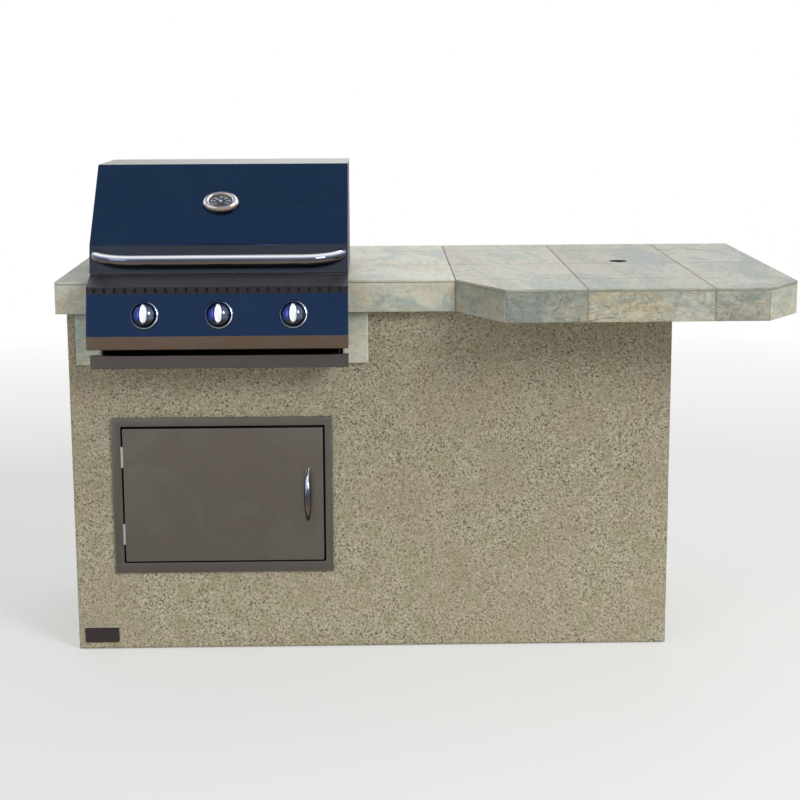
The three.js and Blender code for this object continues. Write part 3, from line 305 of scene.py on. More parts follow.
def addSwept(bm, points, radii, flat, sides):
    # a bar along a line of points in one plane; flat is that plane's normal
    loops = []
    for i, (point, radius) in enumerate(zip(points, radii)):
        run = (points[min(i + 1, len(points) - 1)] - points[max(i - 1, 0)]).normalized()
        side = run.cross(flat).normalized()
        loops.append([bm.verts.new(point + radius * (flat * c + side * s)) for c, s in circle(sides)])
    skin(bm, loops, ends=True)


def cutOff(bm, place, normal, **sides):
    # cuts a solid along a plane and closes it again
    everything = bm.verts[:] + bm.edges[:] + bm.faces[:]
    bmesh.ops.bisect_plane(bm, geom=everything, plane_co=place, plane_no=normal, **sides)
    bmesh.ops.holes_fill(bm, edges=[e for e in bm.edges if e.is_boundary])


def foldedLine(corners, radius, steps=4, cuts=None):
    # an open line with rounded folds: points of (y, z, panel, true on a fold)
    line = [(*corners[0], 0, False)]
    for i in range(1, len(corners)):
        start, end = Vector(corners[i - 1]), Vector(corners[i])
        run = (end - start).normalized()
        for distance in (cuts or {}).get(i - 1, []):
            line.append((*(start + run * distance), i - 1, False))
        if i == len(corners) - 1:
            line.append((*end, i - 1, False))
            break
        onward = (Vector(corners[i + 1]) - end).normalized()
        turn = run.angle(onward)
        middle = end + (onward - run).normalized() * (radius / math.cos(turn / 2))
        first = end - run * radius * math.tan(turn / 2) - middle
        bend = turn if run.x * onward.y - run.y * onward.x > 0 else -turn
        for k in range(steps + 1):
            spoke = Matrix.Rotation(bend * k / steps, 2) @ first
            line.append((*(middle + spoke), i - 1 if k < steps / 2 else i, k < steps))
    return line


def dropLoose(bm):
    for vertex in [v for v in bm.verts if not v.link_faces]:
        bm.verts.remove(vertex)


def addSheet(bm, line, stops, thickness, isOpen=None, paint=None, foldPaint=None, insidePaint=None):
    # a folded sheet along X: line gives its outside, stops the places along X, and the thickness lies
    # to the right of the line, or to its left where it is negative
    flat = [Vector(p[:2]) for p in line]
    last = len(line) - 1
    inner = []
    for i, spot in enumerate(flat):
        runs = [(flat[k + 1] - flat[k]).normalized() for k in (i - 1, i) if 0 <= k < last]
        sides = [Vector((r.y, -r.x)) for r in runs]
        middle = sum(sides, Vector((0, 0))).normalized()
        inner.append(spot + middle * thickness / max(0.3, middle.dot(sides[0])))
    outside, inside = ([[bm.verts.new((x, *p)) for p in side] for x in stops] for side in (flat, inner))

    def isThere(i, j):
        return 0 <= i < len(stops) - 1 and 0 <= j < last and not (isOpen and isOpen(stops[i], stops[i + 1], j))

    for i in range(len(stops) - 1):
        for j in range(last):
            if not isThere(i, j):
                continue
            cell = [(i, j), (i + 1, j), (i + 1, j + 1), (i, j + 1)]
            made = [bm.faces.new([side[a][b] for a, b in cell]) for side in (outside, inside)]
            made[0].smooth = made[1].smooth = line[j][3]
            for k, (di, dj) in enumerate(((0, -1), (1, 0), (0, 1), (-1, 0))):
                if not isThere(i + di, j + dj):
                    (a, b), (c, d) = cell[k], cell[(k + 1) % 4]
                    made.append(bm.faces.new((outside[a][b], outside[c][d], inside[c][d], inside[a][b])))
            if paint:
                isFold = line[j][3] and foldPaint is not None
                for face in made:
                    face.material_index = foldPaint if isFold else paint[line[j][2]]
            if insidePaint is not None:
                made[1].material_index = insidePaint
    dropLoose(bm)


def newPiece(name, bm, place, body, finishes, replaced=(), smooth=None):
    bmesh.ops.recalc_face_normals(bm, faces=bm.faces)
    bm.transform(place)
    mesh = toMesh(bm, name)
    for finish in finishes:
        mesh.materials.append(finish)
    if smooth:
        mesh.shade_smooth()
        mesh.set_sharp_from_angle(angle=math.radians(smooth))
    piece = newObject(name, mesh)
    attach(piece, body)
    if replaced:
        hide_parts(*replaced)
    return piece


def dress(material, *names):
    for name in names:
        nodes[name].data.materials.clear()
        nodes[name].data.materials.append(material)


# camera, floor and light
view = {"place": (-0.138, -4.3697, 1.5078), "focal": 74.73, "down": 0.1743, "right": 0.0191, "roll": -0.005,
        "shift": -0.0625}
camera = newObject("camera", bpy.data.cameras.new("camera"))
camera.data.lens = view["focal"]
camera.data.sensor_width = 36
camera.data.shift_y = view["shift"]
camera.data.clip_end = 50
aim = Matrix.Translation(view["place"])
for turn, axis in ((-view["right"], "Z"), (math.pi / 2 - view["down"], "X"), (view["roll"], "Z")):
    aim = aim @ Matrix.Rotation(turn, 4, axis)
camera.matrix_world = aim
scene.camera = camera
scene.view_settings.view_transform = "Standard"

studio = {"ambient": 0.4, "aim": (0, 0, 0.7),
          "lamps": {"key": (128, 1.7, (2.6, -3.6, 3.3)), "fill": (42, 3.0, (-3.2, -3.4, 2.2)),
                    "back": (40, 3.0, (0.5, 3.4, 3.0))}}  # power, size and place


def looking():
    # 1 for the rays that see the background, in metal and glass too, and 0 for those that light
    rays = put("LightPath").outputs
    return calc("MAXIMUM", rays["Is Camera Ray"],
                calc("MAXIMUM", rays["Is Glossy Ray"], rays["Is Transmission Ray"]))


world = scene.world = bpy.data.worlds.new("studio")
world.use_nodes = True
bench["tree"] = world.node_tree
sky = world.node_tree.nodes["Background"].inputs
sky["Color"].default_value = (1, 1, 1, 1)
feed(remap(looking(), 0.0, 1.0, studio["ambient"], 1.0), sky["Strength"])
for part, (power, size, place) in studio["lamps"].items():
    lamp = bpy.data.lights.new(part + "Light", "AREA")
    lamp.energy = power
    lamp.size = size
    light = newObject(part + "Light", lamp)
    light.location = place
    light.rotation_euler = (Vector(studio["aim"]) - light.location).to_track_quat("-Z", "Y").to_euler()

floor = {"half": 12, "edge": (2.2, 5.0), "shade": 0.6}
bm = bmesh.new()
bmesh.ops.create_grid(bm, x_segments=1, y_segments=1, size=floor["half"])
ground = newObject("floor", toMesh(bm, "floor"))
material, shader = newMaterial("paleFloor")
shader["Base Color"].default_value = rgb(238, 238, 236)
shader["Roughness"].default_value = 0.8
away = put("VectorMath", {0: objectPlace()}, operation="LENGTH").outputs["Value"]
fade = remap(away, *floor["edge"], 1.0 - floor["shade"], 1.0)
glow = put("Emission", {"Color": (1, 1, 1, 1), "Strength": 1.0})
surfaces = material.node_tree.nodes
painted = surfaces["Principled BSDF"]
mixed = put("MixShader", {0: times(looking(), fade), 1: painted.outputs[0], 2: glow.outputs[0]})
feed(mixed.outputs[0], surfaces["Material Output"].inputs["Surface"])
ground.data.materials.append(material)
print("camera, floor and light done")

# stucco
island = {"length": 1524, "depth": 686, "wall": 22, "low": 3, "high": 894.1}
# the openings on each side, front first and on round: from and to along the side, low and high
stucco = {"openings": {0: [(124.2, 644.8, 231.4, 593.3), (87.5, 691.5, 752.0, 900.0)],
                       2: [(119, 429, 170, 270)]},
          "step": 6.0, "cornerRadius": 8.0, "cornerSteps": 4, "grain": 0.62, "wave": 0.5, "sink": 0.35,
          "light": rgb(176, 168, 145), "middle": rgb(154, 146, 122), "pitShade": rgb(90, 82, 64),
          "lumpHighlight": rgb(206, 199, 178), "blush": rgb(168, 148, 130), "moss": rgb(149, 152, 112),
          "fade": (0.08, 0.66, 1.07, 0.83)}
stuccoFinish, shader = newMaterial("sandStucco")
spot = objectPlace()
grains = put("TexVoronoi", {"Vector": spot, "Scale": 275.0}, feature="SMOOTH_F1").outputs["Distance"]
height = plus(times(cloud(spot, 185.0, 1.0, 0.5, 0.2), 0.55), times(remap(grains, 0.15, 0.75, 1.0, 0.0), 0.2),
              times(cloud(spot, 430.0, 2.0, 0.6), 0.25))
# the colour follows the relief's height: painted shade in the pits and low parts, painted highlight on the high
# lumps
pits = remap(height, 0.45, 0.35)
shade = tint(remap(height, 0.4, 0.56), stucco["middle"], stucco["light"])
shade = tint(times(pits, 0.9), shade, stucco["pitShade"])
shade = tint(remap(height, 0.55, 0.63, 0.0, 0.75), shade, stucco["lumpHighlight"])
shade = tint(remap(cloud(spot, 26.0, 2.0), 0.5, 0.66, 0.0, 0.4), shade, stucco["moss"])
shade = tint(remap(cloud(spot, 5.0, 5.0, 0.65), 0.42, 0.66, 0.0, 0.36), shade, stucco["blush"])
level = put("SeparateXYZ", {0: spot}).outputs[2]
# painted light: the walls are paler towards the floor and darker higher up
paintedHeightLight = put("HueSaturation", {"Color": shade, "Value": remap(level, *stucco["fade"])})
feed(paintedHeightLight.outputs[0], shader["Base Color"])
feed(remap(pits, 0.0, 1.0, 0.86, 0.97), shader["Roughness"])
shader["Specular IOR Level"].default_value = 0.3
roughen(shader, height, 1.0, 0.005)


def relief(x, y, z):
    # millimetres out of the wall's face: fine lumps on slow trowel waves
    here = Vector((x, y, z))
    lumps = noise.noise(here / 9.0) * 0.7 + noise.noise(here / 4.6 + Vector((7, 3, 5))) * 0.4
    return lumps * stucco["grain"] + noise.noise(here / 210.0) * stucco["wave"] - stucco["sink"]


def spread(stops, step):
    # the stops in order, with even steps between them
    stops = sorted(stops)
    places = stops[:1]
    for low, high in zip(stops, stops[1:]):
        count = max(1, round((high - low) / step))
        places += [low + (high - low) * k / count for k in range(1, count + 1)]
    return places


def stuccoCoat():
    # all four walls: a relief outside, flat inside, open for the door, the grill and the vent
    length, depth, wall = island["length"], island["depth"], island["wall"]
    radius, holes = stucco["cornerRadius"], stucco["openings"]
    sizes = [length, depth, length, depth]
    levels = [z for group in holes.values() for hole in group for z in hole[2:] if z < island["high"]]
    rows = spread({island["low"], island["high"], *levels}, stucco["step"])
    ring = []  # place, outward direction, side, distance along the side
    for side, corner in enumerate(rectangle(0, length, 0, depth)):
        run = Vector(((1, 0), (0, 1), (-1, 0), (0, -1))[side])
        out = Vector((run.y, -run.x))
        stops = {radius, sizes[side] - radius}.union(*(hole[:2] for hole in holes.get(side, [])))
        ring += [(Vector(corner) + run * along, out, side, along) for along in spread(stops, stucco["step"])[:-1]]
        middle = Vector(corner) + run * (sizes[side] - radius) - out * radius
        for k in range(stucco["cornerSteps"]):
            angle = math.pi / 2 / stucco["cornerSteps"] * k
            turned = out * math.cos(angle) + run * math.sin(angle)
            ring.append((middle + turned * radius, turned, side, sizes[side] - radius * 0.5))
    bm = bmesh.new()
    grid = [[bm.verts.new((*(spot + out * relief(*spot, z)), z)) for z in rows] for spot, out, _, _ in ring]
    for i in range(len(ring)):
        j = (i + 1) % len(ring)
        side, here = ring[i][2:]
        there = ring[j][3] if ring[j][2] == side else sizes[side]
        for k in range(len(rows) - 1):
            middle, level = (here + there) / 2, (rows[k] + rows[k + 1]) / 2
            if not any(a < middle < b and c < level < d for a, b, c, d in holes.get(side, [])):
                bm.faces.new((grid[i][k], grid[j][k], grid[j][k + 1], grid[i][k + 1])).smooth = True
    dropLoose(bm)
    inner = {}

    def innerOf(vertex):
        key = (round(min(max(vertex.co.x, wall), length - wall), 3),
               round(min(max(vertex.co.y, wall), depth - wall), 3), round(vertex.co.z, 3))
        if key not in inner:
            inner[key] = bm.verts.new(key)
        return inner[key]

    for edge in [e for e in bm.edges if len(e.link_faces) == 1]:
        a, b = edge.verts
        c, d = innerOf(b), innerOf(a)
        bm.faces.new((a, b, c) if c is d else (a, b, c, d))
    for x, y in rectangle(wall, length - wall, wall, depth - wall):
        bm.edges.new([inner[(x, y, round(z, 3))] for z in (island["low"], island["high"])])
    made = set(inner.values())
    for axis, place in ((1, wall), (0, length - wall), (1, depth - wall), (0, wall)):
        edges = [e for e in bm.edges if len(e.link_faces) < 2 and all(v in made for v in e.verts)
                 and all(abs(v.co[axis] - place) < 0.001 for v in e.verts)]
        bmesh.ops.triangle_fill(bm, use_beauty=True, edges=edges)
    return bm


newPiece("stuccoCoat", stuccoCoat(), islandPlace, "island", [stuccoFinish],
         ("front_wall", "back_wall", "left_end_wall", "right_end_wall"))
dress(stuccoFinish, "bar_soffit")
print("stucco done")

# tiles
tiles = {"joint": 3.0, "arris": 1.2, "recess": 0.7, "edgeRecess": 2.4, "low": 885.0, "edgeTop": 957.6,
         "topLow": 959.6, "high": 965.0, "deck": 956.75, "thick": 8.0, "edgeStep": 7.0,
         "columns": [363.4, 668.2, 973.0, 1277.8, 1582.6], "rows": [-38.0, 266.8, 571.6],
         "umbrella": (1430.2, 315.0), "umbrellaRadius": 25.0, "drill": (940, 980), "grill": (87.5, 691.5, 432.0),
         "pale": rgb(196, 197, 182), "green": rgb(170, 176, 160), "blue": rgb(157, 169, 165),
         "blush": rgb(199, 188, 166), "ochre": rgb(198, 182, 144), "rust": rgb(158, 122, 90),
         "smoke": rgb(98, 102, 96)}
counter = {"left": -20.0, "right": 1809.0, "front": -38.0, "barFront": -229.0, "back": 724.0, "barStart": 973.0,
           "clips": [((973.0, -38.0), (1082.0, -229.0)), ((1714.0, -229.0), (1809.0, -108.0))], "smallest": 5}

# slateCloud: drifting clouds of colour, agate rings, veins and the split face of slate. Each tile's
# own tileTone gives its ochre, its rings and its value, and tileShift its place in the pattern.
given, result = newGroup("slateCloud", [("Stretch", "vector", (1.0, 2.6, 2.6)), ("Detail", "value", 5.0),
                                        ("Depth", "value", 1.0)],
                         [("Color", "colour"), ("Height", "value"), ("Gloss", "value")])
shift, tone = (put("Attribute", attribute_name=name).outputs["Vector"] for name in ("tileShift", "tileTone"))
ochre, rings, value = put("SeparateXYZ", {0: tone}).outputs
own = put("VectorMath", {0: objectPlace(), 1: shift}, operation="ADD").outputs[0]


def slateNoise(scale, detail, rough, distortion):
    return cloud(own, scale, detail, rough, distortion, given["Stretch"])


drift = slateNoise(3.0, given["Detail"], 0.55, 0.9)
wisps = slateNoise(6.0, given["Detail"], 0.62, 1.4)
spots = cloud(own, 70.0, 4.0, 0.6)
shade = ramp(drift, [(0.34, tiles["blue"]), (0.43, tiles["green"]), (0.51, tiles["pale"]), (0.59, tiles["blush"]),
                     (0.68, tiles["green"])])
shade = tint(remap(wisps, 0.5, 0.64, 0.0, 0.7), shade, tiles["pale"])
shade = tint(remap(wisps, 0.47, 0.34, 0.0, 0.8), shade, tiles["blue"])
stains = plus(cloud(own, 6.0, 4.0, 0.55, 0.8), times(ochre, 0.08))
rust = times(remap(stains, 0.5, 0.64), remap(ochre, 0.0, 1.0, 0.2, 0.8))
shade = tint(rust, shade, tiles["ochre"])
wave = calc("SINE", times(slateNoise(4.5, 4.0, 0.55, 1.6), 62.0))
ringed = times(rings, remap(cloud(own, 9.0, 3.0), 0.42, 0.62))
darkRing = times(remap(wave, 0.55, 1.0), ringed)
shade = tint(times(darkRing, 0.45), shade, tiles["smoke"])
shade = tint(times(remap(wave, -0.2, -1.0), ringed, 0.35), shade, tiles["pale"])
cracks = calc("ABSOLUTE", calc("SUBTRACT", slateNoise(8.0, 8.0, 0.68, 1.2), 0.47))
vein = times(remap(cracks, 0.0, 0.016, 1.0, 0.0), remap(wisps, 0.42, 0.58))
shade = tint(times(vein, rings, 0.8), shade, tint(rust, tiles["smoke"], tiles["rust"]))
shade = tint(remap(spots, 0.52, 0.75, 0.0, 0.3), shade, tiles["smoke"])
blotches = slateNoise(26.0, 6.0, 0.66, 1.0)
mottle = times(remap(blotches, 0.3, 0.7, -0.26, 0.26), rings)
bright = put("HueSaturation", {"Color": shade, "Value": times(value, plus(mottle, 1.0))})
feed(bright.outputs[0], result["Color"])
split = plus(times(wisps, 0.6), times(blotches, 0.4), times(spots, 0.12))
cleft = calc("SUBTRACT", split, plus(times(vein, 0.1), times(darkRing, 0.08)))
feed(times(cleft, given["Depth"]), result["Height"])
feed(remap(spots, 0.4, 0.7), result["Gloss"])


def slateFinish(name, stretch, detail, depth, gloss):
    material, shader = newMaterial(name)
    slate = useGroup("slateCloud", {"Stretch": stretch, "Detail": detail, "Depth": depth})
    # a paler rim along the edges: partly wear, partly painted highlight
    wornAndLitEdge = useGroup("edgeWearAndHighlight", {"Radius": 0.002, "Amount": 0.5})["Mask"]
    feed(tint(wornAndLitEdge, slate["Color"], rgb(200, 198, 186)), shader["Base Color"])
    feed(remap(slate["Gloss"], 0.0, 1.0, *gloss), shader["Roughness"])
    shader["Specular IOR Level"].default_value = 0.35
    roughen(shader, slate["Height"], 0.55, 0.003)
    return material


slateTop = slateFinish("slateTop", (1.5, 0.5, 1.3), 3.0, 0.6, (0.42, 0.58))
slateEdge = slateFinish("slateEdge", (1.5, 1.5, 2.6), 6.0, 1.3, (0.5, 0.66))

groutFinish, shader = newMaterial("sandedGrout")
sand = cloud(objectPlace(), 900.0, 2.0)
shade = tint(remap(sand, 0.35, 0.65), rgb(138, 126, 110), rgb(172, 160, 142))
stained = remap(cloud(objectPlace(), 14.0, 4.0), 0.4, 0.7, 0.0, 0.4)
feed(tint(stained, shade, rgb(118, 108, 96)), shader["Base Color"])
shader["Roughness"].default_value = 0.93
roughen(shader, sand, 0.5, 0.0006)


def clipped(polygon, start, end):
    # keeps the part of a polygon that lies to the left of the line from start to end
    run = Vector(end) - Vector(start)
    kept = []
    for i, here in enumerate(polygon):
        before = polygon[i - 1]
        a, b = (run.x * (p[1] - start[1]) - run.y * (p[0] - start[0]) for p in (before, here))
        if (a >= 0) != (b >= 0):
            share = a / (a - b)
            kept.append((before[0] + (here[0] - before[0]) * share, before[1] + (here[1] - before[1]) * share))
        if b >= 0:
            kept.append(here)
    return kept


def topTile(x0, x1, y0, y1):
    # one tile's outline, less the grill's opening and the bar's clipped corners
    left, right, back = tiles["grill"]
    if x0 < right and x1 > left and y0 < back:
        if x0 >= left and x1 <= right:
            y0 = back
        elif x1 <= right and y1 > back:
            return [(x0, y0), (left, y0), (left, back), (x1, back), (x1, y1), (x0, y1)]
        elif x1 <= right:
            x1 = left
        elif y1 <= back:
            x0 = right
        else:
            return [(right, y0), (x1, y0), (x1, y1), (x0, y1), (x0, back), (right, back)]
    if min(y1 - y0, x1 - x0) < counter["smallest"]:
        return None
    polygon = rectangle(x0, x1, y0, y1)
    if x0 >= counter["barStart"]:
        for start, end in counter["clips"]:
            polygon = clipped(polygon, start, end)
    return polygon if len(polygon) > 2 else None


def drilled(bm, radius):
    # the same solid with the umbrella's hole through it
    hole = bmesh.new()
    low, high = tiles["drill"]
    addTurned(hole, [(0, low), (radius, low), (radius, high), (0, high)], 48, middle=tiles["umbrella"])
    pair = []
    for part in (bm, hole):
        bmesh.ops.recalc_face_normals(part, faces=part.faces)
        pair.append(newObject("spare", toMesh(part)))
    change = pair[0].modifiers.new("hole", "BOOLEAN")
    change.operation = "DIFFERENCE"
    change.solver = "EXACT"
    change.object = pair[1]
    solid = bpy.data.meshes.new_from_object(pair[0].evaluated_get(bpy.context.evaluated_depsgraph_get()))
    result = bmesh.new()
    result.from_mesh(solid)
    for mesh in [solid] + [thing.data for thing in pair]:
        bpy.data.meshes.remove(mesh)
    return result


def markTiles(piece, counts, rng, tones=()):
    # each tile gets its own place in the pattern and its own tone, so that no two look alike
    shifts, shades = [], []
    places = [v.co.x for v in piece.data.vertices]
    for k, count in enumerate(counts):
        ochre, rings, value = tones[k] if k < len(tones) else (rng.uniform(0, 0.35), rng.uniform(0.05, 0.2),
                                                               rng.uniform(0.98, 1.05))
        shifts += [rng.uniform(-20, 20) for _ in range(3)] * count
        own, places = places[:count], places[count:]
        low, high = min(own), max(own)
        # a pair of ochres is a tile that changes from its left to its right end
        first, last = ochre if isinstance(ochre, tuple) else (ochre, ochre)
        for x in own:
            mix = min(1, max(0, ((x - low) / (high - low) - 0.5) / 0.22))
            shades += [first + (last - first) * mix, rings, value]
    for name, values in (("tileShift", shifts), ("tileTone", shades)):
        piece.data.attributes.new(name, "FLOAT_VECTOR", "POINT").data.foreach_set("vector", values)


rng = random.Random(11)
gap = tiles["joint"] / 2
columns = [counter["left"] - gap] + tiles["columns"] + [counter["right"] + gap]
# name, node, columns, and the value of the bar's tiles
fields = [("leftCounterTiles", "left_counter_tiles", (0, 1), None),
          ("middleCounterTiles", "middle_counter_tiles", (2,), None),
          ("barTilesLeft", "bar_tiles_left", (3,), 0.75), ("barTilesMiddle", "bar_tiles_middle", (4,), 0.62),
          ("barTilesRight", "bar_tiles_right", (5,), 0.665)]
for name, node, members, value in fields:
    bm = bmesh.new()
    count = 0
    for i in members:
        ends = [counter["barFront"] - gap, tiles["rows"][0]] if i > 2 else [counter["front"] - gap]
        rows = ends + tiles["rows"][1:] + [counter["back"] + gap]
        for y0, y1 in zip(rows, rows[1:]):
            polygon = topTile(columns[i] + gap, columns[i + 1] - gap, y0 + gap, y1 - gap)
            if polygon:
                made = softPrism(polygon, tiles["topLow"], tiles["high"], tiles["arris"])
                if name == "barTilesMiddle" and y0 < tiles["umbrella"][1] < y1:
                    made = drilled(made, tiles["umbrellaRadius"])
                count += len(made.verts)
                merge(bm, made)
    piece = newPiece(name, bm, islandPlace, "island", [slateTop], (node,))
    # the pattern runs on through a column, so its joints hardly show
    markTiles(piece, [count], rng, [(rng.uniform(0, 0.3), 0.1, value)] if value else ())

# runs of edge tiles, each from one corner of the counter to the next, with the joints along it and
# the ochre, rings and value of those tiles that the front shows
runs = [("frontEdgeTileLeft", "front_edge_tile_left", (-20, -38), (87.5, -38), [], [(0.1, 0.4, 0.93)]),
        ("frontEdgeTileRight", "front_edge_tile_right", (691.5, -38), (973, -38), [], [(0.3, 0.4, 0.9)]),
        ("barCornerTileLeft", "bar_corner_tile_left", (973, -38), (1082, -229), [], [(0.0, 0.4, 0.72)]),
        ("barFrontEdgeTiles", "bar_front_edge_tiles", (1082, -229), (1714, -229), [195.8, 500.6],
         [(0.0, 1.0, 0.58), ((1.0, 0.0), 1.0, 0.78), (0.1, 1.0, 0.61)]),
        ("barCornerTileRight", "bar_corner_tile_right", (1714, -229), (1809, -108), [], [(0.2, 0.5, 0.96)]),
        ("rightSideEdgeTiles", "right_side_edge_tiles", (1809, -108), (1809, 724), [374.8, 679.6], []),
        ("backEdgeTiles", "back_edge_tiles", (1809, 724), (-20, 724), [226.4, 531.2, 836.0, 1140.8, 1445.6], []),
        ("leftSideEdgeTiles", "left_side_edge_tiles", (-20, 724), (-20, -38), [152.4, 457.2], [])]


def splitFace(a, b, seed):
    # the hand-split front of an edge tile, in millimetres
    here = Vector((a / 34.0, b / 15.0, seed))
    ledge = noise.noise(here) * 0.9 + noise.noise(here * 2.7 + Vector((5, 1, 9))) * 0.45
    return -0.55 + min(0.5, ledge)


def addFaceTile(bm, start, run, out, first, last, low, high, thick, seed, mitres=(0.0, 0.0)):
    # a tile that stands on edge: a split front with worn arrises, a flat back
    arris = tiles["arris"]
    stops = []
    for a, b in ((first, last), (low, high)):
        count = max(2, round((b - a) / tiles["edgeStep"]))
        stops.append([a] + spread((a + arris, b - arris), (b - a - 2 * arris) / count) + [b])
    xs, zs = stops
    m, n = len(xs) - 1, len(zs) - 1

    def at(along, level, depth):
        return bm.verts.new((*(start + run * along - out * depth), level))

    grid = [[at(x, z, 1.3 if i in (0, m) or j in (0, n) else -splitFace(x, z, seed)) for j, z in enumerate(zs)]
            for i, x in enumerate(xs)]
    for i in range(m):
        for j in range(n):
            bm.faces.new((grid[i][j], grid[i + 1][j], grid[i + 1][j + 1], grid[i][j + 1])).smooth = True
    border = ([(i, 0) for i in range(m)] + [(m, j) for j in range(n)] + [(i, n) for i in range(m, 0, -1)]
              + [(0, j) for j in range(n, 0, -1)])
    back = []
    for i, j in border:
        share = (xs[i] - first) / (last - first)
        back.append(at(xs[i] + mitres[0] * (1 - share) - mitres[1] * share, zs[j], thick))
    skin(bm, [[grid[i][j] for i, j in border], back])
    bm.faces.new(back)


def corner(first, second):
    # how much shorter a tile's back is where two runs meet
    turn = math.atan2(first.x * second.y - first.y * second.x, first.dot(second))
    return tiles["thick"] * math.tan(turn / 2)


def direction(run):
    return (Vector(run[3]) - Vector(run[2])).normalized()


mortar = bmesh.new()
for number, here in enumerate(runs):
    name, node, start, end, joints, tones = here
    run = direction(here)
    before = [corner(direction(other), run) for other in runs if other[3] == start]
    after = [corner(run, direction(other)) for other in runs if other[2] == end]
    start, end = Vector(start), Vector(end)
    out = Vector((run.y, -run.x))
    length = (end - start).length
    places = [gap if before else 0.0] + [j for joint in joints for j in (joint - gap, joint + gap)]
    places.append(length - (gap if after else 0.0))
    trims = [sum(before), sum(after)]
    bm = bmesh.new()
    counts = []
    for k in range(0, len(places), 2):
        already = len(bm.verts)
        mitres = (trims[0] if k == 0 else 0.0, trims[1] if k == len(places) - 2 else 0.0)
        addFaceTile(bm, start, run, out, places[k], places[k + 1], tiles["low"], tiles["edgeTop"],
                    tiles["thick"], number * 3.7 + k, mitres)
        counts.append(len(bm.verts) - already)
    piece = newPiece(name, bm, islandPlace, "island", [slateEdge], (node,))
    markTiles(piece, counts, rng, tones)
    # the grout shows in the joints, a little behind the tiles' faces
    recess, depth = tiles["edgeRecess"], tiles["thick"] - 0.5
    strip = [start + run * (trims[0] / tiles["thick"] * d if atStart else length - trims[1] / tiles["thick"] * d)
             - out * d for atStart, d in ((True, recess), (False, recess), (False, depth), (True, depth))]
    addPrism(mortar, strip, tiles["low"] + 0.6, tiles["deck"] - 0.05)

bed = [(-18, -36), (87.5, -36), (87.5, 432), (691.5, 432), (691.5, -36), (974.1, -36), (1083.1, -227),
       (1713, -227), (1807, -107.2), (1807, 722), (-18, 722)]
layer = bmesh.new()
addPrism(layer, bed, tiles["deck"], tiles["high"] - tiles["recess"])
merge(mortar, drilled(layer, tiles["umbrellaRadius"] + 0.5))
newPiece("mortarBed", mortar, islandPlace, "island", [groutFinish])

skirt = {"front": -12.3, "width": 64.0, "low": 752.0, "high": 882.0, "thick": 12.0, "tone": (0.3, 0.5, 1.05)}
for name, node, x0 in (("skirtTileLeft", "skirt_tile_left", 23.5), ("skirtTileRight", "skirt_tile_right", 691.5)):
    bm = bmesh.new()
    addFaceTile(bm, Vector((x0, skirt["front"])), Vector((1, 0)), Vector((0, -1)), 0.0, skirt["width"],
                skirt["low"], skirt["high"], skirt["thick"], x0)
    piece = newPiece(name, bm, islandPlace, "island", [slateEdge], (node,))
    markTiles(piece, [len(piece.data.vertices)], rng, [skirt["tone"]])
print("tiles done")


def glints(up, *shades):
    # left, middle, right, above and below
    return {"Up": up, **{side: rgb(*shade) for side, shade in zip(glintSides, shades)}}
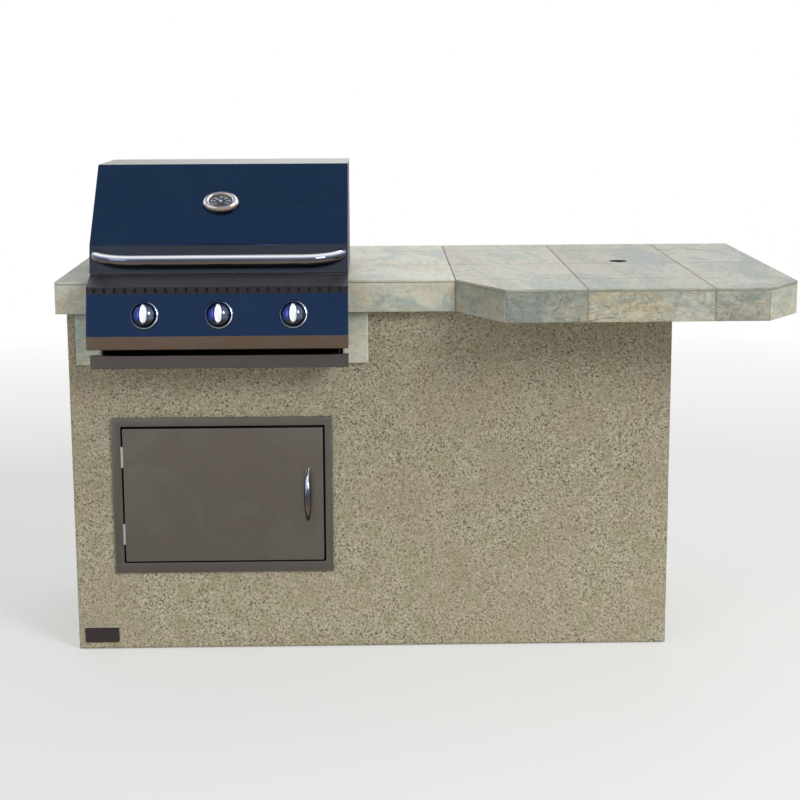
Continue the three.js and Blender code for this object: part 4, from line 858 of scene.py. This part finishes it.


# the metals: stretch is the grain's direction, marks the smears, dust their colour, edge the bright edges, painted
# highlight partly from wear; a colour of sky and the glints are painted reflections
smooth = {"stretch": (5, 700, 700), "grain": 0.25, "marks": 0.12, "rough": (0.14, 0.24), "bump": 0.05,
          "dust": (120, 125, 135), "edge": 0.7, "metallic": 1.0}
mirror = dict(smooth, marks=0.09, dust=(62, 80, 108), rough=(0.1, 0.2))
brushed = dict(smooth, marks=0.15, rough=(0.3, 0.42))
polished = dict(smooth, dark=(150, 150, 154), grain=0.1, marks=0.05, rough=(0.06, 0.12), bump=0.01,
                dust=(190, 190, 190), edge=0.0)
knobUp = (0, 0.25, 0.97)
metals = {
    # painted reflections: copies of one stainless steel take the colours each face would mirror out of doors, navy
    # sky, grey horizon, brown ground, a pale top and dark folds
    "skyReflectionSteel": (mirror, {"colour": (29, 47, 73), "dark": (23, 38, 60)}),
    "foldDarkReflectionSteel": (smooth, {"colour": (20, 30, 50), "dark": (14, 20, 34), "edge": 0.0}),
    "panelSkyReflectionSteel": (mirror, {"colour": (33, 51, 79), "dark": (27, 42, 65)}),
    "horizonReflectionSteel": (mirror, {"colour": (55, 60, 71), "dark": (40, 44, 54)}),
    "ledgeSteel": (smooth, {"colour": (68, 66, 73), "dark": (52, 51, 57), "metallic": 0.35, "rough": (0.42, 0.55),
                            "dust": (88, 87, 92)}),
    "ventSteel": (brushed, {"colour": (51, 49, 53), "dark": (40, 39, 42), "edge": 0.0, "marks": 0.12,
                            "dust": (60, 58, 62)}),
    "paleTopReflectionSteel": (smooth, {"colour": (170, 175, 172), "dark": (150, 156, 153), "metallic": 0.1,
                           "rough": (0.5, 0.62), "dust": (186, 188, 184)}),
    "groundReflectionSteel": (smooth, {"colour": (98, 82, 68), "dark": (80, 66, 54), "rough": (0.25, 0.4)}),
    "sideSteel": (smooth, {"colour": (104, 106, 112), "dark": (82, 84, 90), "metallic": 0.4,
                           "stretch": (700, 5, 700), "rough": (0.55, 0.7), "edge": 0.3}),
    "doorSteel": (smooth, {"colour": (104, 97, 92), "dark": (82, 76, 72), "marks": 0.2, "stretch": (700, 700, 5),
                           "rough": (0.24, 0.36), "dust": (135, 130, 124)}),
    "frameSteel": (brushed, {"colour": (98, 92, 87), "dark": (78, 74, 71), "dust": (128, 120, 114)}),
    "traySteel": (brushed, {"colour": (86, 80, 78), "dark": (68, 64, 63), "dust": (112, 106, 102)}),
    "polishedChrome": (polished, {"colour": "sky"}),
    "brightSteel": (polished, {"colour": (178, 176, 168), "rough": (0.3, 0.4), "edge": 0.7}),
    "heatedSteel": (smooth, {"colour": (128, 118, 108), "dark": (92, 78, 66), "stretch": (40, 40, 40),
                             "grain": 0.7, "marks": 0.5, "rough": (0.35, 0.6), "dust": (96, 84, 74)}),
    "castBrass": (smooth, {"colour": (184, 150, 84), "dark": (140, 108, 58), "stretch": (120, 120, 120),
                           "grain": 0.5, "marks": 0.3, "rough": (0.3, 0.5), "dust": (150, 128, 84)}),
    "galvanisedSteel": (smooth, {"colour": (168, 174, 178), "dark": (128, 134, 140), "stretch": (60, 60, 60),
                                 "grain": 0.6, "marks": 0.3, "rough": (0.35, 0.55), "dust": (150, 150, 148)}),
    # painted shade: a dark navy copy of the steel for the knob bezels' hollow wells
    "wellShadeSteel": (smooth, {"colour": (36, 46, 70), "dark": (26, 34, 54), "edge": 0.0, "metallic": 0.6,
                           "stretch": (60, 60, 60)}),
    # the glints are painted reflections on the turned parts
    "ringChrome": (polished, {"glints": glints((0, 0.7, 0.71), (238, 240, 244), (132, 140, 158), (250, 250, 252),
                                               (104, 113, 134), (158, 142, 128))}),
    "knobFace": (polished, {"stretch": (60, 60, 60),
                            "glints": glints(knobUp, (38, 54, 128), (52, 70, 158), (82, 94, 112), (34, 50, 86),
                                             (50, 42, 42))}),
    "ringSteel": (polished, {"glints": glints(knobUp, (38, 56, 92), (48, 62, 96), (252, 252, 255), (38, 54, 84),
                                              (142, 142, 136))}),
    "gripSteel": (polished, {"glints": glints(knobUp, (66, 84, 160), (250, 251, 253), (232, 234, 240),
                                              (240, 242, 246), (128, 120, 112))})}
metal = {name: steelFinish(name, base, **changes) for name, (base, changes) in metals.items()}

# enamel, cast iron, board, paint and plastic: colour, patches, grain scale, bump, roughness, metallic
gritty = {"darkEnamel": ((40, 40, 43), (56, 52, 50), 420, 0.15, (0.3, 0.5), 0.0),
          "castIron": ((44, 42, 42), (62, 54, 48), 700, 0.4, (0.55, 0.75), 0.4),
          "cementBoard": ((150, 148, 140), (126, 124, 116), 260, 0.8, (0.85, 0.95), 0.0),
          "platePaint": ((48, 36, 33), (39, 30, 29), 500, 0.2, (0.42, 0.56), 0.2),
          "whiteCaulk": ((214, 212, 204), (190, 186, 176), 300, 0.4, (0.5, 0.7), 0.0),
          "dialFace": ((26, 30, 42), (34, 38, 52), 900, 0.02, (0.3, 0.4), 0.0),
          "dialInk": ((228, 233, 240), (206, 213, 224), 900, 0.02, (0.4, 0.5), 0.0),
          "sleevePlastic": ((16, 16, 17), (24, 23, 23), 600, 0.05, (0.4, 0.55), 0.0)}
coat = {}
for name, (colour, other, scale, depth, rough, metallic) in gritty.items():
    coat[name], shader = newMaterial(name)
    grains = cloud(objectPlace(), scale, 4.0, 0.6)
    patches = cloud(objectPlace(), scale / 18, 4.0, 0.6)
    shade = tint(remap(patches, 0.35, 0.7), rgb(*colour), rgb(*other))
    marks = useGroup("handMarks", {"Scale": 9.0, "Amount": 0.25})["Mask"]
    feed(tint(remap(grains, 0.55, 0.75, 0.0, 0.5), shade, rgb(*other)), shader["Base Color"])
    feed(plus(remap(grains, 0.3, 0.7, *rough), times(marks, 0.2)), shader["Roughness"])
    shader["Metallic"].default_value = metallic
    roughen(shader, grains, 0.5, depth * unit)

dress(metal["galvanisedSteel"], "front_frame", "back_frame", "left_end_frame", "right_end_frame", "counter_frame",
      "back_vent")
dress(coat["cementBoard"], "counter_deck")
dress(coat["darkEnamel"], "firebox")
dress(coat["castIron"], "cooking_grate_1", "cooking_grate_2")
dress(metal["heatedSteel"], "burner_1", "burner_2", "burner_3", "heat_shield_1", "heat_shield_2", "heat_shield_3")
dress(metal["castBrass"], "gas_manifold", "valve_stem_1", "valve_stem_2", "valve_stem_3")
dress(metal["polishedChrome"], "warming_rack", "hood_hinge_rod", "lower_door_hinge_pin", "upper_door_hinge_pin")
dress(coat["dialInk"], "thermometer_needle")
print("finishes done")

# a dark sleeve lines the umbrella hole through the tile and the deck
sleeve = {"outer": 24.8, "inner": 23.4, "low": 936.0, "high": 964.6}
bm = bmesh.new()
addTurned(bm, rectangle(sleeve["inner"], sleeve["outer"], sleeve["low"], sleeve["high"]), 48, True,
          middle=tiles["umbrella"])
newPiece("umbrellaSleeve", bm, islandPlace, "island", [coat["sleevePlastic"]], smooth=40)

# hood
hood = {"half": 317.5, "sheet": 2.0, "fold": 3.0, "axis": (444, 31), "knuckle": 7.0, "bore": 4.3,
        "outline": [(-58, 23), (-44, 91), (140, 278), (422, 274), (436, 264), (436, 23)],
        "stations": (-230, 230), "knuckleHalf": 15, "knuckleWeb": (435.5, 440.2, 31, 36)}


def addCheeks(bm, outline, half, sheet):
    # the flat ends of a folded sheet, just inside its rims
    for sign in (-1, 1):
        part = bmesh.new()
        outer = sign * (half - 0.15)
        addPrism(part, outline, outer, outer - sign * sheet, "X")
        merge(bm, part, 3)


bm = bmesh.new()
line = foldedLine(hood["outline"], hood["fold"], 5)
# painted reflections: the band takes horizon grey, the slope navy sky, the top a pale reflection and the folds
# dark lines; the ends and the inside are plain steel
addSheet(bm, line, [-hood["half"], hood["half"]], hood["sheet"], paint=[0, 1, 2, 3, 3], foldPaint=4, insidePaint=3)
inset = hood["sheet"] + 0.02
cheek = []
for i, (y, z, _, _) in enumerate(line):
    ahead = Vector(line[min(i + 1, len(line) - 1)][:2]) - Vector(line[max(i - 1, 0)][:2])
    side = Vector((ahead.y, -ahead.x)).normalized()
    cheek.append((y + side.x * inset, max(z + side.y * inset, hood["outline"][0][1])))
addCheeks(bm, cheek, hood["half"], hood["sheet"])
for station in hood["stations"]:
    tube = bmesh.new()
    y, z = hood["axis"]
    ends = station - hood["knuckleHalf"], station + hood["knuckleHalf"]
    skin(tube, [[tube.verts.new((x, y + radius * c, z + radius * s)) for c, s in circle(24)]
                for radius, x in rectangle(hood["bore"], hood["knuckle"], *ends)], True)
    addPrism(tube, rectangle(*hood["knuckleWeb"]), *ends, "X")
    merge(bm, tube, 3)
newPiece("hoodShell", bm, grillPlace, "hood",
         [metal[name] for name in ("horizonReflectionSteel", "skyReflectionSteel", "paleTopReflectionSteel", "sideSteel", "foldDarkReflectionSteel")], ("hood",))

handle = {"radius": 13.4, "end": 301.5, "bend": 96.0, "front": -110.2, "foot": -36.7, "level": 61.0,
          "footRise": 8.0, "steps": 20}
points = []
for k in range(handle["steps"] + 1):
    angle = math.pi / 2 * k / handle["steps"]
    points.append(Vector((-handle["end"] + handle["bend"] * (1 - math.cos(angle)),
                          handle["foot"] + (handle["front"] - handle["foot"]) * math.sin(angle),
                          handle["level"] + handle["footRise"] * (1 - math.sin(angle)))))
points += [Vector((-p.x, p.y, p.z)) for p in reversed(points)]
bm = bmesh.new()
addSwept(bm, points, [handle["radius"]] * len(points), Vector((0, 0, 1)), 32)
# the feet end on the band
lower, upper = (Vector((0, *p)) for p in hood["outline"][:2])
across = Vector((1, 0, 0)).cross(upper - lower).normalized()
cutOff(bm, lower - across * 0.2, across, clear_inner=True)
newPiece("hoodHandleBar", bm, grillPlace, "hood", [metal["polishedChrome"]], ("hood_handle",), smooth=40)
print("hood done")

# thermometer: an oval bezel, its dial, ticks and numbers, and the glass
gauge = {"tilt": math.atan2(187, 184), "centre": (0, 48.0, 184.5), "length": 93, "height": 63, "sides": 64,
         "ticks": 25, "start": 215, "sweep": 250, "tickEnd": 25.0, "longTick": (20.5, 0.8),
         "shortTick": (22.6, 0.4), "numberRadius": 16.2, "numberSize": 5.0, "numberThick": 0.04,
         "bezel": [(0, 0.3), (44.5, 0.3), (46.5, 1.5), (46.3, 5.0), (44.6, 9.5), (41.0, 13.6), (36.8, 15.8),
                   (34.0, 15.9), (31.4, 14.6), (29.2, 12.6), (28.2, 10.8), (28.0, 9.0), (0, 9.0)],
         "dial": [(0, 9.02), (27.9, 9.02), (27.9, 9.2), (0, 9.2)],
         "glass": [(0, 13.0), (28.6, 12.2), (28.6, 12.8), (18, 13.5), (0, 13.8)]}
gaugePlace = placed(grillOrigin, gauge["tilt"], gauge["centre"])
oval = (1, gauge["height"] / gauge["length"])


def addOval(name, finish, profile, replaced=()):
    bm = bmesh.new()
    addTurned(bm, profile, gauge["sides"], stretch=oval)
    newPiece(name, bm, gaugePlace, "hood", [finish], replaced, smooth=40)


def onDial(tick, radius):
    angle = math.radians(gauge["start"] - gauge["sweep"] * tick / (gauge["ticks"] - 1))
    return Vector((radius * math.cos(angle), radius * math.sin(angle) * oval[1])), angle


addOval("thermometerBezel", metal["ringChrome"], gauge["bezel"], ("thermometer_case",))
addOval("thermometerDial", coat["dialFace"], gauge["dial"])
bm = bmesh.new()
for k in range(gauge["ticks"]):
    near, thick = gauge["shortTick" if k % 4 else "longTick"]
    (inner, angle), (outer, _) = onDial(k, near), onDial(k, gauge["tickEnd"])
    across = Vector((-math.sin(angle), math.cos(angle) * oval[1])).normalized() * thick
    addPrism(bm, [inner - across, outer - across, outer + across, inner + across], 9.22, 9.32)
newPiece("thermometerTicks", bm, gaugePlace, "hood", [coat["dialInk"]])
for k in range(7):
    words = bpy.data.curves.new("dialNumber%d" % k, "FONT")
    words.body = str(100 * (k + 1))
    words.size = gauge["numberSize"]
    words.align_x = words.align_y = "CENTER"
    words.extrude = gauge["numberThick"]
    draft = newObject("draft", words)
    flat = bpy.data.meshes.new_from_object(draft.evaluated_get(bpy.context.evaluated_depsgraph_get()))
    bpy.data.objects.remove(draft)
    bm = bmesh.new()
    bm.from_mesh(flat)
    bpy.data.meshes.remove(flat)
    bmesh.ops.remove_doubles(bm, verts=bm.verts, dist=0.002)
    bmesh.ops.translate(bm, verts=bm.verts, vec=(*onDial(4 * k, gauge["numberRadius"])[0], 9.27))
    newPiece("dialNumber" + words.body, bm, gaugePlace, "hood", [coat["dialInk"]])
glassFinish, shader = newMaterial("dialGlass")
shader["Base Color"].default_value = (0.96, 0.98, 1.0, 1)
shader["Transmission Weight"].default_value = 1.0
shader["IOR"].default_value = 1.25
haze = useGroup("handMarks", {"Scale": 30.0, "Amount": 0.3})["Mask"]
feed(remap(haze, 0.0, 1.0, 0.02, 0.12), shader["Roughness"])
addOval("thermometerGlass", glassFinish, gauge["glass"])
print("thermometer done")

# control panel
panel = {"half": 317.5, "sheet": 2.0, "fold": 3.0, "line": [(-56.3, 19), (-116.3, -2), (-118.3, -20),
                                                             (-144.3, -120), (-144.3, -153), (-129.3, -153)],
         "cheek": [(-56.4, 16.8), (-114.5, -3.4), (-116.3, -20.4), (-142.2, -120.3), (-142.2, -150.9),
                   (-40, -150.9), (-40, -2), (-56.4, -2)],
         "slots": 25, "slotPitch": 24.85, "slotWidth": 7.0, "slotLow": 3.6, "slotHigh": 14.6,
         "knobs": (-176.5, 4.0, 184.5), "holeHalf": 9.0}
slotPlaces = [(i - (panel["slots"] - 1) / 2) * panel["slotPitch"] for i in range(panel["slots"])]
faceMiddle = math.dist(panel["line"][2], panel["line"][3]) / 2
# the openings on each fold of the sheet: from, to, the places along X, and half their width
openings = {1: (panel["slotLow"], panel["slotHigh"], slotPlaces, panel["slotWidth"] / 2),
            2: (faceMiddle - panel["holeHalf"], faceMiddle + panel["holeHalf"], panel["knobs"], panel["holeHalf"])}
line = foldedLine(panel["line"], panel["fold"], 4, {key: opening[:2] for key, opening in openings.items()})
stops = {-panel["half"], panel["half"]}
for _, _, places, half in openings.values():
    stops.update(x + sign * half for x in places for sign in (-1, 1))


def isPanelOpen(x0, x1, j):
    low, high, places, half = openings.get(line[j][2], (0, 0, (), 0))
    spot = (Vector(line[j][:2]) + Vector(line[j + 1][:2])) / 2
    along = (spot - Vector(panel["line"][line[j][2]])).length
    return not line[j][3] and low < along < high and any(abs((x0 + x1) / 2 - x) < half for x in places)


bm = bmesh.new()
# painted reflections: the knob face takes navy sky, the lower strip and its return brown ground
addSheet(bm, line, sorted(stops), -panel["sheet"], isPanelOpen, [0, 4, 1, 2, 2])
addCheeks(bm, panel["cheek"], panel["half"], panel["sheet"])
newPiece("controlPanelShell", bm, grillPlace, "island",
         [metal[name] for name in ("ledgeSteel", "panelSkyReflectionSteel", "groundReflectionSteel", "sideSteel", "ventSteel")],
         ("control_panel",))

# a dark sheet behind the vent slots: painted shade that makes the slots read dark
slotShade = {"half": 308.0, "line": [(-106.0, -6.5), (-107.2, -18.5), (-101.0, -21.5)], "sheet": 1.0}
bm = bmesh.new()
addSheet(bm, foldedLine(slotShade["line"], 1.5, 2), [-slotShade["half"], slotShade["half"]], slotShade["sheet"])
newPiece("slotShadeSheet", bm, grillPlace, "island", [coat["sleevePlastic"]])

# knobs: profiles of (radius, height), and the grip's levels as (height, half width, half length)
knob = {"tilt": math.radians(75.43), "face": (-131.3, -70.0), "sides": 64, "wellRadius": 31.6, "gripSides": 40,
        "body": [(0, 5.5), (24.4, 5.5), (25.6, 6.0), (26.3, 7.6), (26.5, 9.5), (26.2, 12.2), (25.2, 13.8),
                 (23.6, 15.4), (21.2, 17.6), (18.0, 19.9), (13.5, 22.3), (8.0, 24.0), (3.0, 24.5), (0, 24.5)],
        "bezel": [(28.3, 0.3), (35.5, 0.3), (35.5, 2.6), (35.1, 4.4), (34.0, 6.6), (32.6, 8.3), (31.4, 8.95),
                  (30.2, 8.8), (29.2, 7.9), (28.5, 6.6), (28.3, 5.0)],
        "grip": [(13.0, 12.0, 26.0), (23.0, 11.8, 25.8), (28.0, 10.8, 24.8), (31.0, 8.6, 22.4), (32.3, 5.0, 18.0)]}
for number, (x, body) in enumerate(zip(panel["knobs"], ("left_knob", "middle_knob", "right_knob")), 1):
    place = placed(grillOrigin, knob["tilt"], (x, *knob["face"]))
    bm = bmesh.new()
    addTurned(bm, knob["bezel"], knob["sides"], closed=True)
    # painted shade: the well inside the bezel takes the dark steel
    for face in bm.faces:
        if face.calc_center_median().xy.length < knob["wellRadius"]:
            face.material_index = 1
    newPiece("knobBezel%d" % number, bm, place, "island", [metal["ringSteel"], metal["wellShadeSteel"]],
             ("knob_bezel_%d" % number,), smooth=45)
    bm = bmesh.new()
    addTurned(bm, knob["body"], knob["sides"])
    for face in bm.faces:
        face.smooth = True
    grip = bmesh.new()
    skin(grip, [[grip.verts.new((wide * c, long * s, level)) for c, s in circle(knob["gripSides"])]
                for level, wide, long in knob["grip"]], ends=True, smooth=True)
    merge(bm, grip, 1)
    newPiece("burnerKnob%d" % number, bm, place, body, [metal["knobFace"], metal["gripSteel"]],
             ("knob_%d" % number,))
print("control panel done")

# drip tray
tray = {"half": 317.5, "front": -96.3, "back": 400.0, "low": -208.0, "high": -175.0, "return": 11.0, "sheet": 1.2,
        "fold": 2.2, "panHalf": 290.0, "panLow": -206.7, "panHigh": -180.7, "panSheet": 1.6}
lip = [(tray["front"] + tray["return"], tray["low"]), (tray["front"], tray["low"]), (tray["front"], tray["high"]),
       (tray["front"] + tray["return"], tray["high"])]
bm = bmesh.new()
addSheet(bm, foldedLine(lip, tray["fold"]), [-tray["half"], tray["half"]], tray["sheet"])
pan = bmesh.new()
loops = []
for level, inset in ((tray["panLow"], 0), (tray["panHigh"], 0), (tray["panHigh"], tray["panSheet"]),
                     (tray["panLow"] + tray["panSheet"], tray["panSheet"])):
    half = tray["panHalf"] - inset
    loops.append([pan.verts.new((x, y, level)) for x, y in rectangle(
        -half, half, tray["front"] + tray["sheet"] + 0.1 + inset, tray["back"] - inset)])
skin(pan, loops, ends=True)
merge(bm, pan, 1)
newPiece("dripTrayPan", bm, grillPlace, "tray", [metal["traySteel"], metal["heatedSteel"]],
         ("drip_tray",))
print("drip tray done")

# access door
door = {"half": (254.0, 174.5), "front": -11.0, "back": 9.0, "radius": 4.0, "edge": 2.6,
        "opening": (258.0, 178.5), "flange": {"left": 24.0, "right": 19.0, "low": 27.0, "high": 22.0},
        "hingeAt": (-256.0, -8.0), "hingeSpread": 101.0, "third": 18.0, "play": 0.3, "pin": 2.3, "knuckle": 4.0}
# the frame's section: share of the flange outwards, and Y
section = [(0.0, 38.0), (0.0, -4.9), (0.02, -5.8), (0.06, -6.3), (0.93, -6.3), (0.985, -5.9), (1.0, -4.9),
           (1.0, -0.3), (0.09, -0.3), (0.09, 38.0)]
halfX, halfZ = door["opening"]
flange = door["flange"]
bm = bmesh.new()
loops = []
for signX, signZ in rectangle(-1, 1, -1, 1):
    wide, tall = flange["left" if signX < 0 else "right"], flange["low" if signZ < 0 else "high"]
    loops.append([bm.verts.new((signX * (halfX + u * wide), y, signZ * (halfZ + u * tall))) for u, y in section])
skin(bm, loops, closed=True)


def addKnuckles(bm, starts, length):
    # hinge knuckles with a bore for the pin; starts are measured from each hinge's middle
    for middle in (-door["hingeSpread"], door["hingeSpread"]):
        for start in starts:
            part = bmesh.new()
            low = middle + start
            addTurned(part, rectangle(door["pin"], door["knuckle"], low, low + length), 24, True,
                      middle=door["hingeAt"])
            merge(bm, part, 1)


third, play = door["third"], door["play"]
addKnuckles(bm, (-1.5 * third, third / 2 + play), third - play)
newPiece("doorFrameTrim", bm, doorPlace, "island", [metal["frameSteel"], metal["brightSteel"]],
         ("door_frame",), smooth=35)
halfX, halfZ = door["half"]
bm = softPrism(roundedRectangle(-halfX, halfX, -halfZ, halfZ, door["radius"]), door["front"], door["back"],
               door["edge"], "Y", 3)
addKnuckles(bm, (play - third / 2,), third - 2 * play)
newPiece("accessDoorPanel", bm, doorPlace, "door", [metal["doorSteel"], metal["brightSteel"]],
         ("access_door",))

bow = {"x": 214.0, "length": 134.0, "standoff": 37.5, "sunk": 4.0, "fullness": 0.7, "middle": 8.6, "end": 4.6,
       "steps": 28, "foot": -11.0}
points, radii = [], []
for k in range(bow["steps"] + 1):
    share = k / bow["steps"]
    rise = math.sin(math.pi * share) ** bow["fullness"]
    y = bow["foot"] + bow["sunk"] - rise * (bow["standoff"] + bow["sunk"])
    points.append(Vector((bow["x"], y, (share - 0.5) * bow["length"])))
    radii.append(bow["end"] + (bow["middle"] - bow["end"]) * rise)
bm = bmesh.new()
addSwept(bm, points, radii, Vector((1, 0, 0)), 24)
cutOff(bm, (0, bow["foot"] - 0.2, 0), (0, 1, 0), clear_outer=True)
newPiece("doorPull", bm, doorPlace, "door", [metal["polishedChrome"]], ("door_handle",), smooth=40)
print("door done")

# nameplate, left bare, with a bead of caulk on its upper edge
plate = {"x": (18.0, 105.0), "z": (20.0, 60.0), "y": (-3.3, -0.3), "radius": 4.0, "edge": 0.7,
         "rim": 3, "field": (-3.8, -2.8), "fieldRadius": 2.5, "fieldEdge": 0.3}
(x0, x1), (z0, z1), rim = plate["x"], plate["z"], plate["rim"]
bm = softPrism(roundedRectangle(x0, x1, z0, z1, plate["radius"]), *plate["y"], plate["edge"], "Y")
merge(bm, softPrism(roundedRectangle(x0 + rim, x1 - rim, z0 + rim, z1 - rim, plate["fieldRadius"]),
                    *plate["field"], plate["fieldEdge"], "Y"))
newPiece("barePlate", bm, islandPlace, "island", [coat["platePaint"]], ("nameplate",))
caulk = {"y": -1.4, "z": 60.6, "step": 3, "wander": 0.8, "radius": 1.1, "uneven": 0.35}
points = [Vector((x, caulk["y"], caulk["z"])) for x in range(int(x0), int(x1) + 1, caulk["step"])]
points = [p + Vector((0, 0, noise.noise(p * 0.09) * caulk["wander"])) for p in points]
radii = [caulk["radius"] + caulk["uneven"] * noise.noise(p * 0.13) for p in points]
bm = bmesh.new()
addSwept(bm, points, radii, Vector((0, 1, 0)), 10)
newPiece("plateCaulk", bm, islandPlace, "island", [coat["whiteCaulk"]], smooth=50)
print("nameplate done")
